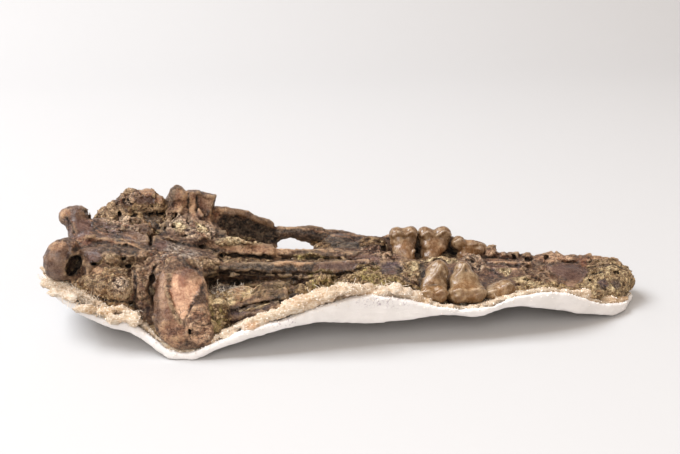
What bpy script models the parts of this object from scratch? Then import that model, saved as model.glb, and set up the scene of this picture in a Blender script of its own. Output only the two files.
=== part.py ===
"""Fossil skull of a large dog-like carnivore, lying palate up in its plaster field jacket.

The frame: +X runs from the back of the skull to the snout, -Y is the side that the photograph shows,
+Z is up. The origin lies on the jacket's flat underside. The skull lies on its roof, so its left side is at -Y.
Shapes are written in millimetres and scaled to metres by MM where a mesh is made.
"""

import math

import bmesh
import bpy
from mathutils import Euler, Matrix, Vector

MM = 0.001

# Driving dimensions, in millimetres
SHELL = 5.5  # thickness of the plaster
LINING = 3.0  # thickness of the burlap layer inside it
GAP = 0.5  # play between pieces that touch
SKULL_GAP = 1.5  # play round the skull, where the sediment's bed is plainer than the bone
WIDEST_STEP = 22.0  # stations of the jacket further apart than this get one more between them
VOXEL = 2.2  # cell used to fuse the forms of one piece
TOOTH_VOXEL = 0.9

# The jacket at stations along X: x, near rim y, far rim y, near rim underside z, near rim top z,
# far rim underside z, level bottom from y, to y, height of that bottom, share of the full wall thickness
RIM = [
    (-196, -12, 14, 33, 39, 31, 0, 6, 29, 0.35),
    (-184, -30, 36, 28, 34, 24, -3, 14, 19, 0.8),
    (-170, -42, 54, 22, 28, 18, -9, 26, 11, 1),
    (-151, -51, 68, 15, 21, 12, -20, 36, 4, 1),
    (-136, -56, 75, 13, 20, 9, -18, 44, 0, 1),
    (-123, -63, 79, 7, 13, 8, -40, 48, 0, 0.8),
    (-112, -69, 81, 1, 6, 7, -64, 50, 0, 0.6),
    (-99, -71, 83, 0, 4.5, 7, -66, 52, 0, 0.6),
    (-84, -72, 84, 6, 11, 6, -52, 54, 0, 0.8),
    (-62, -72, 85, 13, 19, 6, -31, 54, 0, 1),
    (-38, -70, 85, 18, 24, 6, -15, 54, 0, 1),
    (-19, -68, 84, 20, 30, 6, -9, 52, 0, 1),
    (12, -64, 81, 16, 34, 6, -15, 48, 0, 1),
    (31, -64, 77, 17, 31, 7, -12, 44, 0, 1),
    (56, -64, 70, 19, 24.5, 8, -7, 38, 0, 0.6),
    (82, -63, 62, 17, 22, 8, -11, 32, 0, 0.55),
    (108, -60, 54, 21, 28, 8, 1, 27, 0, 0.7),
    (137, -54, 46, 14, 26.5, 6, -11, 23, 0, 1),
    (168, -44, 38, 5, 13.5, 4, -26, 18, 0, 0.9),
    (190, -32, 26, 1, 7.5, 2, -22, 12, 0, 0.7),
    (203, -15, 9, 2.5, 7, 2, -5, 3, 0.5, 0.4),
]
FAR_WALL = 5.5  # height of the far wall above its underside
INNER_SLOPE = 10.0  # least width of the inner slope between a wall's foot and the level bottom
SAG = 0.45  # height of the underside halfway from the rim to the level bottom, as a share of the rise
LINING_ROLL = [  # x, height of the torn burlap above the plaster's near rim
    (-196, 2), (-170, 7), (-140, 6), (-112, 1), (-99, 0), (-84, 2), (-56, 5), (-30, 8), (-6, 9), (12, 4), (31, 2),
    (45, -1), (110, -1), (150, 0), (203, 0),
]  # fmt: skip

# Forms of the skull. A ball is (centre), (radii) and, if it is turned, (degrees about X, Y, Z).
SKULL_BALLS = [
    ((-180, -24, 50), (11, 12, 13.5)),  # left condyle
    ((-177, 25, 64), (12, 11, 9)),  # right condyle
    ((-166, -4, 40), (13, 32, 14)),  # wall under both condyles
    ((-130, 4, 27), (50, 32, 20)),  # crushed braincase
    ((-110, 48, 62), (9, 9, 14)),  # right postglenoid process
    ((-100, 52, 60), (8, 7, 10)),  # right jaw joint
    ((-91, 53, 56), (7, 7, 11)),
    ((-138, 40, 42), (22, 18, 14)),  # right squamosal
    ((-104, 40, 42), (24, 22, 14)),
    ((-112, -32, 42), (17, 18, 11), (14, 0, 0)),  # left squamosal
    ((-127, -44, 36), (6.5, 7, 15)),  # left paroccipital process
    ((154, 19, 18), (15, 8, 8.5)),  # right canine socket
    ((178, 14, 19), (6.5, 6.5, 7)),  # right outer incisor socket
    ((113, 30, 24), (6, 5, 5.5)),  # right premolar sockets
    ((128, 26, 20), (7, 5, 4.5)),
    ((138, 24, 21), (5, 4, 4.5)),
    ((36, 38, 26), (15, 12, 10)),  # right cheek bone root
    ((48, 20, 24), (22, 12, 9)),  # palate between the molars
    ((80, 16, 20), (26, 14, 9)),
    ((62, -18, 24), (24, 12, 9)),
    ((8, 38, 24), (24, 16, 8)),  # crushed wall of the right eye socket
    ((28, -20, 27), (14, 10, 6)),  # lumps of the crushed palate
    ((40, 2, 27), (11, 11, 5)),
    ((94, 12, 23), (10, 8, 7)),
    ((158, -2, 18), (14, 10, 6)),
    ((186, 10, 18), (8, 7, 6)),
    ((-146, 12, 50), (14, 8, 6)),  # right side of the base
    ((-110, 18, 50), (16, 12, 7)),
    ((-96, -24, 42), (16, 12, 7)),
]
SKULL_BARS = [  # each bar is a run of (x, y, z, radius along X, along Y, along Z)
    [(-176, 23, 60, 7, 8, 8), (-169, 8, 50, 10, 9, 8)],  # neck of the right condyle
    [(-174, -14, 53, 7, 8, 5), (-150, -16, 47, 9, 9, 7)],  # ledge beside the left condyle
    [(-162, 0, 53, 3, 3, 3), (-126, -3, 51, 3, 3, 3)],  # crest of the base
    [  # right cheek arch, which is whole
        (-92, 56, 46, 8, 7, 10), (-77, 61, 41, 6, 5, 15), (-62, 64, 35, 6, 4, 16), (-46, 66, 30, 6, 4, 12),
        (-38, 67, 31, 5, 4, 6), (-28, 68, 31.5, 5, 4, 5), (-8, 68, 28, 5, 4, 5.5), (8, 65, 24, 5, 5, 7.5),
        (24, 58, 21, 6, 7, 9.5), (40, 48, 20, 8, 9, 10),
    ],
    [  # right pterygoid ridge
        (-92, 9, 41, 4, 5, 4), (-70, 9, 42, 4, 4, 5), (-54, 10, 38, 4, 4, 5), (-33, 13, 35, 4, 4, 4),
        (0, 15, 32, 4, 4, 4), (28, 12, 29, 4, 5, 4),
    ],
    [  # left pterygoid ridge
        (-100, -14, 42, 5, 6, 4), (-80, -14, 38, 5, 5, 5), (-60, -14, 36, 5, 5, 5), (-28, -15, 35, 5, 5, 5),
        (-8, -15, 35, 5, 5.5, 5.5), (8, -14, 33, 5, 6, 5), (22, -14, 29, 6, 8, 5),
    ],
    [  # left jaw joint, broken off and bent down over the rim
        (-106, -44, 51, 8, 7, 7), (-105, -51, 42, 18, 9, 11), (-102, -57, 28, 21, 9, 12), (-100, -61, 16, 19, 8, 9),
        (-99, -64, 11, 14, 6, 6),
    ],
    [(100, 8, 23, 5, 4, 3.5), (116, 7, 22, 5, 4, 3.5), (134, 6, 20, 5, 4, 3)],  # palate ridges
    [(104, -14, 22, 5, 4, 3.5), (122, -12, 20, 5, 4, 3)],
    [(-95, -42, 18, 8, 8, 7), (-76, -49, 18, 7, 5, 6), (-56, -50, 19, 7, 4.5, 5), (-40, -46, 21, 6, 4, 4)],
]  # fmt: skip
# A beam runs along X through (x, y, z, half width, half height) with square shoulders
SKULL_BEAMS = [
    [(-166, 2, 43, 20, 10), (-140, 1, 42, 20, 12), (-112, -2, 39, 15, 11), (-84, -1, 34, 12, 9)],  # base
    [(-90, 6, 25, 10, 10), (-40, 6, 22, 10, 10), (0, 4, 22, 12, 10)],  # floor between the pterygoid ridges
    [  # palate and snout
        (-4, 3, 23, 15, 8), (25, 5, 20, 33, 9), (50, 0, 18, 39, 9), (80, -1, 16, 39, 9), (106, 0, 15, 34, 8.5),
        (122, 2, 14, 28, 8.5), (140, 3, 13, 24, 8.5), (160, 2, 12.5, 20, 8.5), (184, 1, 12.5, 14, 9),
        (206, 2, 13, 9, 6.5),
    ],
]  # fmt: skip
SKULL_PITS = [  # hollows sunk into the skull
    ((-169, -33, 47), (6.5, 9, 9)),  # left condylar fossa
    ((-118, 8, 60), (4, 16, 7), (0, 0, 40)),  # furrow across the base
    ((34, 46, 38), (4, 5, 5)),  # opening behind the right molars
    ((118, 28, 29), (3, 4, 5)),  # empty right sockets
    ((151, 18, 28), (4, 4, 5)),
    ((192, 2, 25), (5, 5, 5)),
]

# Sediment that still holds the skull, below and beside it
MATRIX_BALLS = [
    ((-150, -8, 22), (38, 42, 15)),
    ((-145, -38, 34), (14, 12, 12.5)),  # over the left ear
    ((-162, -38, 33), (12, 10, 10)),
    ((22, -30, 22), (36, 18, 12)),  # behind the left molars
    ((-16, -34, 25), (9, 9, 13)),  # pillar beside the left ridge
    ((-81, -56, 19), (10, 9, 16)),  # beside the left jaw joint
    ((-70, -36, 24), (14, 9, 8)),  # pads in the left temporal hollow
    ((-42, -34, 24), (15, 9, 9)),
    ((130, -24, 11), (48, 16, 10)),
    ((190, -7, 11), (23, 17, 12)),  # round the snout's end
]
MATRIX_BEAMS = [
    [(-170, 4, 14, 40, 8), (-120, 8, 11, 68, 7), (-40, 12, 8, 62, 6), (40, 8, 10, 58, 8), (100, 2, 9, 46, 7),
     (160, 0, 8, 28, 5), (190, 0, 8, 18, 4)],
]  # fmt: skip
FAR_EAR_BALLS = [  # lumps of sediment and crushed bone over the right ear
    ((-140, 44, 59), (14, 13, 17)),
    ((-150, 37, 56), (14, 12, 13)),
    ((-160, 38, 55), (6, 7, 8)),
    ((-130, 46, 60), (9, 10, 14)),
    ((-122, 44, 60), (4.5, 6, 10)),
    ((-138, 30, 52), (20, 11, 9)),
]

# Teeth: crown lobes first, then the root
TEETH = {
    "right_second_molar": [
        ((45, 40, 35), (6, 6.5, 6)), ((54, 40, 35.5), (6.5, 6.5, 6)), ((49.5, 32, 29), (8.5, 8, 8)),
        ((50, 35, 24), (7, 6, 8)),
    ],
    "right_first_molar": [
        ((67.5, 42, 33.5), (6.5, 6.5, 6.5)), ((78, 42, 34), (7, 6.5, 6.5)), ((72.5, 36, 27), (9.5, 7, 8)),
        ((73, 37, 22), (7, 6, 7)),
    ],
    "right_carnassial": [
        ((91.5, 37, 28), (6, 5.5, 6)), ((102, 34, 26), (7.5, 5.5, 5.5)), ((97, 35, 21), (7, 5, 7)),
    ],
    "left_second_molar": [
        ((60.5, -32, 35), (9, 8.5, 7)), ((50.5, -46, 26), (6.5, 7.5, 6.5)), ((60, -46.5, 25), (6.5, 7.5, 7)),
        ((57, -35, 26), (7, 7, 8)),
    ],
    "left_first_molar": [
        ((79, -30, 34), (7, 8, 7.5)), ((75, -47, 25), (6.3, 7.5, 7.5)), ((85, -46, 25.5), (7, 7.5, 7.5)),
        ((79.5, -38, 28), (8, 8, 6)), ((79, -34, 24), (7, 7, 8)),
    ],
    "left_carnassial": [
        ((98, -44, 25), (5, 6.5, 6.5)), ((108, -42, 26), (7.5, 6.5, 6.5)), ((103, -37, 23), (7, 6, 6)),
    ],
}  # fmt: skip

# Share of the fused triangles that each piece keeps
SKULL_KEEP = 0.053
SKULL_CUTTER_KEEP = 0.4
MATRIX_KEEP = 0.012
EAR_KEEP = 0.09
TOOTH_KEEP = 0.04

FINISHES = {  # base colour, roughness
    "plaster": ((0.84, 0.81, 0.78), 0.85),
    "burlap": ((0.80, 0.69, 0.55), 0.95),
    "sediment": ((0.34, 0.26, 0.15), 0.95),
    "bone": ((0.24, 0.15, 0.10), 0.55),
    "enamel": ((0.42, 0.28, 0.16), 0.30),
}


def clear_scene():
    for obj in list(bpy.data.objects):
        bpy.data.objects.remove(obj, do_unlink=True)


def finish_material(name):
    colour, roughness = FINISHES[name]
    material = bpy.data.materials.get(name) or bpy.data.materials.new(name)
    material.use_nodes = True
    shader = material.node_tree.nodes["Principled BSDF"]
    shader.inputs["Base Color"].default_value = (*colour, 1.0)
    shader.inputs["Roughness"].default_value = roughness
    shader.inputs["Metallic"].default_value = 0.0
    return material


def add_object(name, bm, finish):
    mesh = bpy.data.meshes.new(name)
    bmesh.ops.recalc_face_normals(bm, faces=bm.faces)
    bm.to_mesh(mesh)
    bm.free()
    obj = bpy.data.objects.new(name, mesh)
    bpy.context.scene.collection.objects.link(obj)
    mesh.materials.append(finish_material(finish))
    return obj


def make_helper(obj):
    """Marks a cutter, which is no piece of its own."""
    obj.hide_render = True
    obj.display_type = "WIRE"
    return obj


def apply_modifiers(obj):
    graph = bpy.context.evaluated_depsgraph_get()
    mesh = bpy.data.meshes.new_from_object(obj.evaluated_get(graph))
    obj.modifiers.clear()
    obj.data = mesh


def at_station(table, x):
    """The row of values at x, on a smooth curve through the table's rows."""
    rows = [table[0], *table, table[-1]]
    last = len(table) - 1
    i = min(max(sum(1 for row in table if row[0] <= x) - 1, 0), last - 1)
    before, start, end, after = rows[i : i + 4]
    t = min(max((x - start[0]) / (end[0] - start[0]), 0.0), 1.0)
    values = []
    for a, b, c, d in zip(before[1:], start[1:], end[1:], after[1:]):
        rise = (c - a) / 2
        fall = (d - b) / 2
        bend = 2 * (b - c) + rise + fall
        values.append(b + rise * t + (3 * (c - b) - 2 * rise - fall) * t**2 + bend * t**3)
    return values


def add_ball(bm, centre, radii, turn=(0, 0, 0), detail=3):
    place = Matrix.Translation(Vector(centre) * MM)
    turned = Euler([math.radians(a) for a in turn]).to_matrix().to_4x4()
    size = Matrix.Diagonal((*(Vector(radii) * MM), 1.0))
    bmesh.ops.create_icosphere(bm, subdivisions=detail, radius=1.0, matrix=place @ turned @ size)


def add_bar(bm, run):
    """Balls strung along a run, close enough to fuse into one bar."""
    for start, end in zip(run, run[1:]):
        first, last = Vector(start[:3]), Vector(end[:3])
        steps = max(2, math.ceil((last - first).length / (0.3 * min(*start[3:], *end[3:]))))
        for k in range(steps + 1):
            t = k / steps
            mixed = [a + (b - a) * t for a, b in zip(start, end)]
            add_ball(bm, mixed[:3], mixed[3:], detail=2)


def add_loft(bm, rings):
    """A closed skin over rings of equal count, capped at both ends."""
    rows = [[bm.verts.new(Vector(point) * MM) for point in ring] for ring in rings]
    for lower, upper in zip(rows, rows[1:]):
        for k in range(len(lower)):
            after = (k + 1) % len(lower)
            bm.faces.new((lower[k], lower[after], upper[after]))
            bm.faces.new((lower[k], upper[after], upper[k]))
    bm.faces.new(list(reversed(rows[0])))
    bm.faces.new(rows[-1])


def add_beam(bm, run, sides=20, shoulder=3.5):
    """A bar along X with square shoulders, through (x, y, z, half width, half height)."""
    steps = 6
    end_scale = 0.55
    end_reach = 3.0
    places = [k / steps for k in range(steps * (len(run) - 1) + 1)]
    plan = [(0.0, end_scale, -end_reach)]
    plan += [(place, 1.0, 0.0) for place in places]
    plan.append((places[-1], end_scale, end_reach))
    rings = []
    for place, scale, shift in plan:
        i = min(int(place), len(run) - 2)
        t = place - i
        x, y, z, half_y, half_z = [a + (b - a) * t for a, b in zip(run[i], run[i + 1])]
        ring = []
        for k in range(sides):
            c = math.cos(2 * math.pi * k / sides)
            s = math.sin(2 * math.pi * k / sides)
            reach = scale / (abs(c) ** shoulder + abs(s) ** shoulder) ** (1 / shoulder)
            ring.append((x + shift, y + half_y * reach * c, z + half_z * reach * s))
        rings.append(ring)
    add_loft(bm, rings)


def fuse(obj, voxel, keep, rounds=3):
    """Joins the loose forms of an object into one skin, softens it and thins out its triangles."""
    remesh = obj.modifiers.new("fuse", "REMESH")
    remesh.mode = "VOXEL"
    remesh.voxel_size = voxel * MM
    remesh.adaptivity = 0.0
    smooth = obj.modifiers.new("soften", "SMOOTH")
    smooth.factor = 0.5
    smooth.iterations = rounds
    thin = obj.modifiers.new("thin", "DECIMATE")
    thin.ratio = keep
    thin.use_collapse_triangulate = True
    apply_modifiers(obj)


def inflated(obj, gap=GAP, keep=1.0):
    """A cutter a little larger than obj, so that what it cuts keeps a gap to obj."""
    cutter = obj.copy()
    cutter.data = obj.data.copy()
    cutter.name = obj.name + "_cutter"
    bpy.context.scene.collection.objects.link(cutter)
    swell = cutter.modifiers.new("swell", "DISPLACE")
    swell.strength = gap * MM
    swell.mid_level = 0.0
    thin = cutter.modifiers.new("thin", "DECIMATE")
    thin.ratio = keep
    thin.use_collapse_triangulate = True
    apply_modifiers(cutter)
    return make_helper(cutter)


def cut(obj, *cutters):
    for cutter in cutters:
        boolean = obj.modifiers.new("cut", "BOOLEAN")
        boolean.operation = "DIFFERENCE"
        boolean.solver = "EXACT"
        boolean.use_self = True
        boolean.object = cutter
    apply_modifiers(obj)
    keep_main_body(obj)


def volume_of(faces):
    return abs(sum(face.calc_center_median().dot(face.normal) * face.calc_area() for face in faces)) / 3


def keep_main_body(obj):
    """Drops the crumbs that a cut leaves loose."""
    bm = bmesh.new()
    bm.from_mesh(obj.data)
    bmesh.ops.remove_doubles(bm, verts=bm.verts, dist=0.01 * MM)
    bmesh.ops.dissolve_degenerate(bm, edges=bm.edges, dist=0.005 * MM)
    bmesh.ops.triangulate(bm, faces=bm.faces)
    left = set(bm.faces)
    bodies = []
    while left:
        body = {left.pop()}
        edge_of_growth = list(body)
        while edge_of_growth:
            face = edge_of_growth.pop()
            for edge in face.edges:
                for neighbour in edge.link_faces:
                    if neighbour in left:
                        left.remove(neighbour)
                        body.add(neighbour)
                        edge_of_growth.append(neighbour)
        bodies.append(body)
    main = max(bodies, key=volume_of)
    bmesh.ops.delete(bm, geom=[face for face in bm.faces if face not in main], context="FACES")
    bm.to_mesh(obj.data)
    bm.free()


def jacket_section(x):
    """Outer and inner lines of the plaster at x, each from the near rim to the far rim, and its thickness share."""
    near, far, low, top, far_low, level_near, level_far, floor, share = at_station(RIM, x)
    wall = SHELL * share
    floor = max(floor, 0.0)
    low = max(low, floor)
    far_top = far_low + FAR_WALL * share
    outer = [
        (near, top), (near, low), ((near + level_near) / 2, floor + (low - floor) * SAG), (level_near, floor),
        ((level_near + level_far) / 2, floor), (level_far, floor),
        ((far + level_far) / 2, floor + (far_low - floor) * SAG), (far, far_low), (far, far_top),
    ]  # fmt: skip
    lip = 0.8 * wall  # the wall is a little thinner at its lip
    near_foot = near + 1.3 * wall
    far_foot = far - 1.3 * wall
    inner_near = max(level_near, near_foot + INNER_SLOPE * share)
    inner_far = min(level_far, far_foot - INNER_SLOPE * share)
    inner = [
        (near + lip, top), (near_foot, min(low + 0.8 * wall, top - 0.1 * wall)),
        ((near_foot + inner_near) / 2, floor + (low - floor) * SAG + wall), (inner_near, floor + wall),
        ((inner_near + inner_far) / 2, floor + wall), (inner_far, floor + wall),
        ((far_foot + inner_far) / 2, floor + (far_low - floor) * SAG + wall),
        (far_foot, min(far_low + 0.8 * wall, far_top - 0.1 * wall)), (far - lip, far_top),
    ]  # fmt: skip
    return outer, inner, share


def lining_section(x):
    """Outer and inner lines of the burlap at x. The outer line follows the plaster at a small distance."""
    _, plaster, share = jacket_section(x)
    (roll,) = at_station(LINING_ROLL, x)
    thick = LINING * share
    sides = [1, 1, 0.7, 0, 0, 0, -0.7, -1, -1]
    outer = [(y + GAP * side, z + GAP) for (y, z), side in zip(plaster, sides)]
    inner = [(y + (GAP + thick) * side, z + GAP + thick) for (y, z), side in zip(plaster, sides)]
    inner[0] = (outer[0][0] + thick, outer[0][1] + roll)
    outer[0] = (outer[0][0], outer[0][1] + roll * 0.8)
    inner[-1] = (outer[-1][0] - thick, outer[-1][1] + GAP)
    return outer, inner


def stations():
    places = [RIM[0][0]]
    for row in RIM[1:]:
        if row[0] - places[-1] > WIDEST_STEP:
            places.append((row[0] + places[-1]) / 2)
        places.append(row[0])
    return places


def add_shell(name, finish, rings):
    bm = bmesh.new()
    add_loft(bm, rings)
    bmesh.ops.triangulate(bm, faces=bm.faces)
    return add_object(name, bm, finish)


def plaster_jacket():
    rings = []
    for x in stations():
        outer, inner, _ = jacket_section(x)
        rings.append([(x, y, z) for y, z in [*outer, *reversed(inner)]])
    return add_shell("plaster_jacket", "plaster", rings)


def burlap_lining():
    """Its points run the other way round, so that its faces fold along the same lines as the plaster's."""
    rings = []
    for x in stations():
        outer, inner = lining_section(x)
        rings.append([(x, y, z) for y, z in [*inner, *reversed(outer)]])
    return add_shell("burlap_lining", "burlap", rings)


def trough_cutter():
    """Everything outside the burlap's inner face, to cut what lies in the jacket."""
    reach = 60.0
    rings = []
    for x in stations():
        _, inner = lining_section(x)
        hollow = [(y, z + GAP) for y, z in inner]
        hollow[0] = (hollow[0][0] + GAP, hollow[0][1])
        hollow[-1] = (hollow[-1][0] - GAP, hollow[-1][1])
        (near, near_top), (far, far_top) = hollow[0], hollow[-1]
        around = [(far + reach, far_top), (far + reach, -reach), (near - reach, -reach), (near - reach, near_top)]
        rings.append([(x, y, z) for y, z in [*hollow, *around]])
    return make_helper(add_shell("trough", "burlap", rings))


def fused_piece(name, finish, balls, bars=(), beams=(), voxel=VOXEL, keep=SKULL_KEEP, rounds=3):
    bm = bmesh.new()
    for ball in balls:
        add_ball(bm, *ball)
    for run in bars:
        add_bar(bm, run)
    for run in beams:
        add_beam(bm, run)
    obj = add_object(name, bm, finish)
    fuse(obj, voxel, keep, rounds)
    return obj


def pit_cutters():
    cutters = []
    for pit in SKULL_PITS:
        bm = bmesh.new()
        add_ball(bm, *pit, detail=2)
        cutters.append(make_helper(add_object("pit", bm, "bone")))
    return cutters


def main():
    clear_scene()
    plaster_jacket()
    burlap_lining()
    trough = trough_cutter()
    teeth = []
    for name, lobes in TEETH.items():
        tooth = fused_piece(name, "enamel", lobes, voxel=TOOTH_VOXEL, keep=TOOTH_KEEP, rounds=2)
        cut(tooth, trough)
        teeth.append(tooth)
    sockets = [inflated(tooth) for tooth in teeth]
    skull = fused_piece("skull", "bone", SKULL_BALLS, SKULL_BARS, SKULL_BEAMS)
    cut(skull, *pit_cutters(), trough, *sockets)
    around_skull = inflated(skull, SKULL_GAP, SKULL_CUTTER_KEEP)
    far_ear = fused_piece("right_ear_matrix", "sediment", FAR_EAR_BALLS, keep=EAR_KEEP)
    cut(far_ear, around_skull)
    matrix = fused_piece("matrix", "sediment", MATRIX_BALLS, beams=MATRIX_BEAMS, keep=MATRIX_KEEP)
    cut(matrix, trough, around_skull, *sockets)


main()
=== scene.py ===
"""Looks of the fossil skull in its plaster field jacket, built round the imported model.

Forms are written in millimetres in the model's frame: +X to the snout, +Y away from the camera, +Z up.
Each piece is modelled like clay: forms are added and dug out on a grid of distances, which is then skinned.
"""
import math

import bpy
import numpy as np
from mathutils import Euler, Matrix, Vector


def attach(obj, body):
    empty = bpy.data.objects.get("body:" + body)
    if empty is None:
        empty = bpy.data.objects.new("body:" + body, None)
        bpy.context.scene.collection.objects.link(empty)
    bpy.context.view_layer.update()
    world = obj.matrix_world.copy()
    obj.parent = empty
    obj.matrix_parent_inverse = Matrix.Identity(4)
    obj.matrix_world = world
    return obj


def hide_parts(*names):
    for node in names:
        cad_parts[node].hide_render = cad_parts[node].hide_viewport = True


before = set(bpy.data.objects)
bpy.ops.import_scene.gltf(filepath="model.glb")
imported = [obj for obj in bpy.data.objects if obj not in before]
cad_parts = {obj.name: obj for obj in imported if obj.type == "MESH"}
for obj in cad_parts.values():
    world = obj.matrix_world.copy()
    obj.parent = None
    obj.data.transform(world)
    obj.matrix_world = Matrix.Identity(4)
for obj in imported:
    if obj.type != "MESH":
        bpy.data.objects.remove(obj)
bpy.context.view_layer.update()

MM = 0.001

# Cells of the clay, in millimetres, and the corners of each block of it
SKULL_CELL = 0.95
SEDIMENT_CELL = 1.15
EAR_CELL = 0.8
SHELL_CELL = 1.25
TOOTH_CELL = 0.55
SKULL_BLOCK = ((-200, -80, 1), (216, 84, 82))
MATRIX_BLOCK = ((-200, -80, 2), (216, 84, 64))
EAR_BLOCK = ((-172, 14, 34), (-110, 66, 82))
JACKET_BLOCK = ((-199, -76, -4), (206, 88, 44))
LINING_BLOCK = ((-202, -76, 1), (206, 88, 50))
FAR = 14.0  # distance stored where nothing is near

# The most triangles of each piece, and the seeds of its noise
MOST_SKULL = 196000
MOST_SHELL = 150000
MOST_BED = 150000
MOST_EAR = 90000
MOST_TOOTH = 24000
SKULL_SEED = 11
BED_SEED = 21
EAR_SEED = 22
JACKET_SEED = 31
LINING_SEED = 32
TOOTH_SEED = 50
STAIN_SEED = 60

# How softly forms run into each other, in millimetres
BONE_BLEND = 3.0
BAR_BLEND = 2.0
PLATE_BLEND = 0.9
RIDGE_BLEND = 1.5
PIT_BLEND = 1.2
SLIT_BLEND = 0.6
FACE_BLEND = 2.0
TOOTH_BLEND = 2.2
CREST_BLEND = 1.4
LUMP_BLEND = 2.0
LEDGE_BLEND = 1.6

# The photograph's camera. Small marks are placed by the pixel where it sees them.
PHOTO_WIDE = 680
PHOTO_HIGH = 454
CAMERA_EYE = np.array((-62.54, -595.03, 264.01))
CAMERA_AIM = np.array((0.0, 0.0, 58.0))
LENS = 50
SENSOR = 36
PIXEL = 0.65  # a photograph's pixel on the object, in millimetres

# The jacket at stations along X: x, near rim y, far rim y, near rim underside z, near rim top z,
# far rim underside z, level bottom from y, to y, height of that bottom, share of the full wall thickness
RIM = [
    (-196, -12, 14, 33, 39, 31, 0, 6, 29, 0.35),
    (-184, -30, 36, 28, 34, 24, -3, 14, 19, 0.8),
    (-170, -42, 54, 22, 28, 18, -9, 26, 11, 1),
    (-151, -51, 68, 15, 21, 12, -20, 36, 4, 1),
    (-136, -56, 75, 13, 20, 9, -18, 44, 0, 1),
    (-123, -63, 79, 7, 13, 8, -40, 48, 0, 0.8),
    (-112, -69, 81, 1, 6, 7, -64, 50, 0, 0.6),
    (-99, -71, 83, 0, 4.5, 7, -66, 52, 0, 0.6),
    (-84, -72, 84, 6, 11, 6, -52, 54, 0, 0.8),
    (-62, -72, 85, 13, 19, 6, -31, 54, 0, 1),
    (-38, -70, 85, 18, 24, 6, -15, 54, 0, 1),
    (-19, -68, 84, 20, 30, 6, -9, 52, 0, 1),
    (12, -64, 81, 16, 34, 6, -15, 48, 0, 1),
    (31, -64, 77, 17, 31, 7, -12, 44, 0, 1),
    (56, -64, 70, 19, 24.5, 8, -7, 38, 0, 0.6),
    (82, -63, 62, 17, 22, 8, -11, 32, 0, 0.55),
    (108, -60, 54, 21, 28, 8, 1, 27, 0, 0.7),
    (137, -54, 46, 14, 26.5, 6, -11, 23, 0, 1),
    (168, -44, 38, 5, 13.5, 4, -26, 18, 0, 0.9),
    (190, -32, 26, 1, 7.5, 2, -22, 12, 0, 0.7),
    (203, -15, 9, 2.5, 7, 2, -5, 3, 0.5, 0.4),
]
LINING_ROLL = [  # x, height of the torn burlap above the plaster's near rim
    (-196, 2), (-170, 7), (-140, 6), (-112, 1), (-99, 0), (-84, 2), (-56, 5), (-30, 8), (-6, 9), (12, 4),
    (31, 2), (45, -1), (110, -1), (150, 0), (203, 0),
]
SHELL = 5.5  # the plaster's wall
LINING = 3.0  # the burlap's thickness
GAP = 0.5  # between plaster and burlap
FOOT = 0.02  # height at which the jacket's underside is cut level, so that it rests
FAR_WALL = 5.5  # height of the far rim's edge
INNER_SLOPE = 10.0  # how far the inner wall leans in from a full rim's foot
SAG = 0.45  # height of a flank's middle, as a share of the flank's rise

# Forms of the skull. A ball is x, y, z, then its three radii and, if it is turned, degrees about X, Y and Z.
SKULL_BALLS = [
    (-179.5, -24, 49.5, 10.5, 12, 12.5),  # left condyle
    (-176.5, 25, 63.8, 10, 9, 7),  # right condyle
    (-184, 24, 63.8, 4, 6.5, 3.8),
    (-166, -4, 40, 13, 32, 14),  # wall under both condyles
    (-130, 4, 27, 50, 32, 20),  # crushed braincase
    (-110, 48, 62, 9, 9, 14),  # right postglenoid process
    (-138, 40, 42, 22, 18, 14),  # right squamosal
    (-104, 40, 42, 24, 22, 14),
    (-112, -30, 42, 16, 18, 10, 14, 0, 0),  # left squamosal
    (152, 19, 17, 14, 8, 7),  # right canine socket
    (27, 41, 25, 13, 11, 9),  # right cheek bone root
    (48, 14, 19, 22, 12, 7),  # palate between the molars
    (80, 12, 17, 26, 14, 8),
    (-176, -20, 55, 9, 9, 8.5),  # left condyle's shoulder
    (62, -18, 24, 24, 12, 9),
    (8, 38, 24, 24, 16, 8),  # crushed wall of the right eye socket
    (28, -20, 27, 14, 10, 6),  # lumps of the crushed palate
    (94, 12, 23, 10, 8, 7), (158, -2, 17, 14, 10, 6), (186, 10, 17, 8, 7, 6),
    (-146, 12, 50, 14, 8, 6),  # right side of the base
    (-106, 18, 48, 19, 14, 6), (-96, -22, 41, 16, 12, 7), (4, 54, 26, 12, 9, 8),
    (-91, -62, 20, 7.5, 6, 9),  # lumps on the broken face of the left jaw joint
    (-93, -63, 29, 5, 4.5, 5), (-90, -65, 12, 6.5, 4.5, 5),
]
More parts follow.
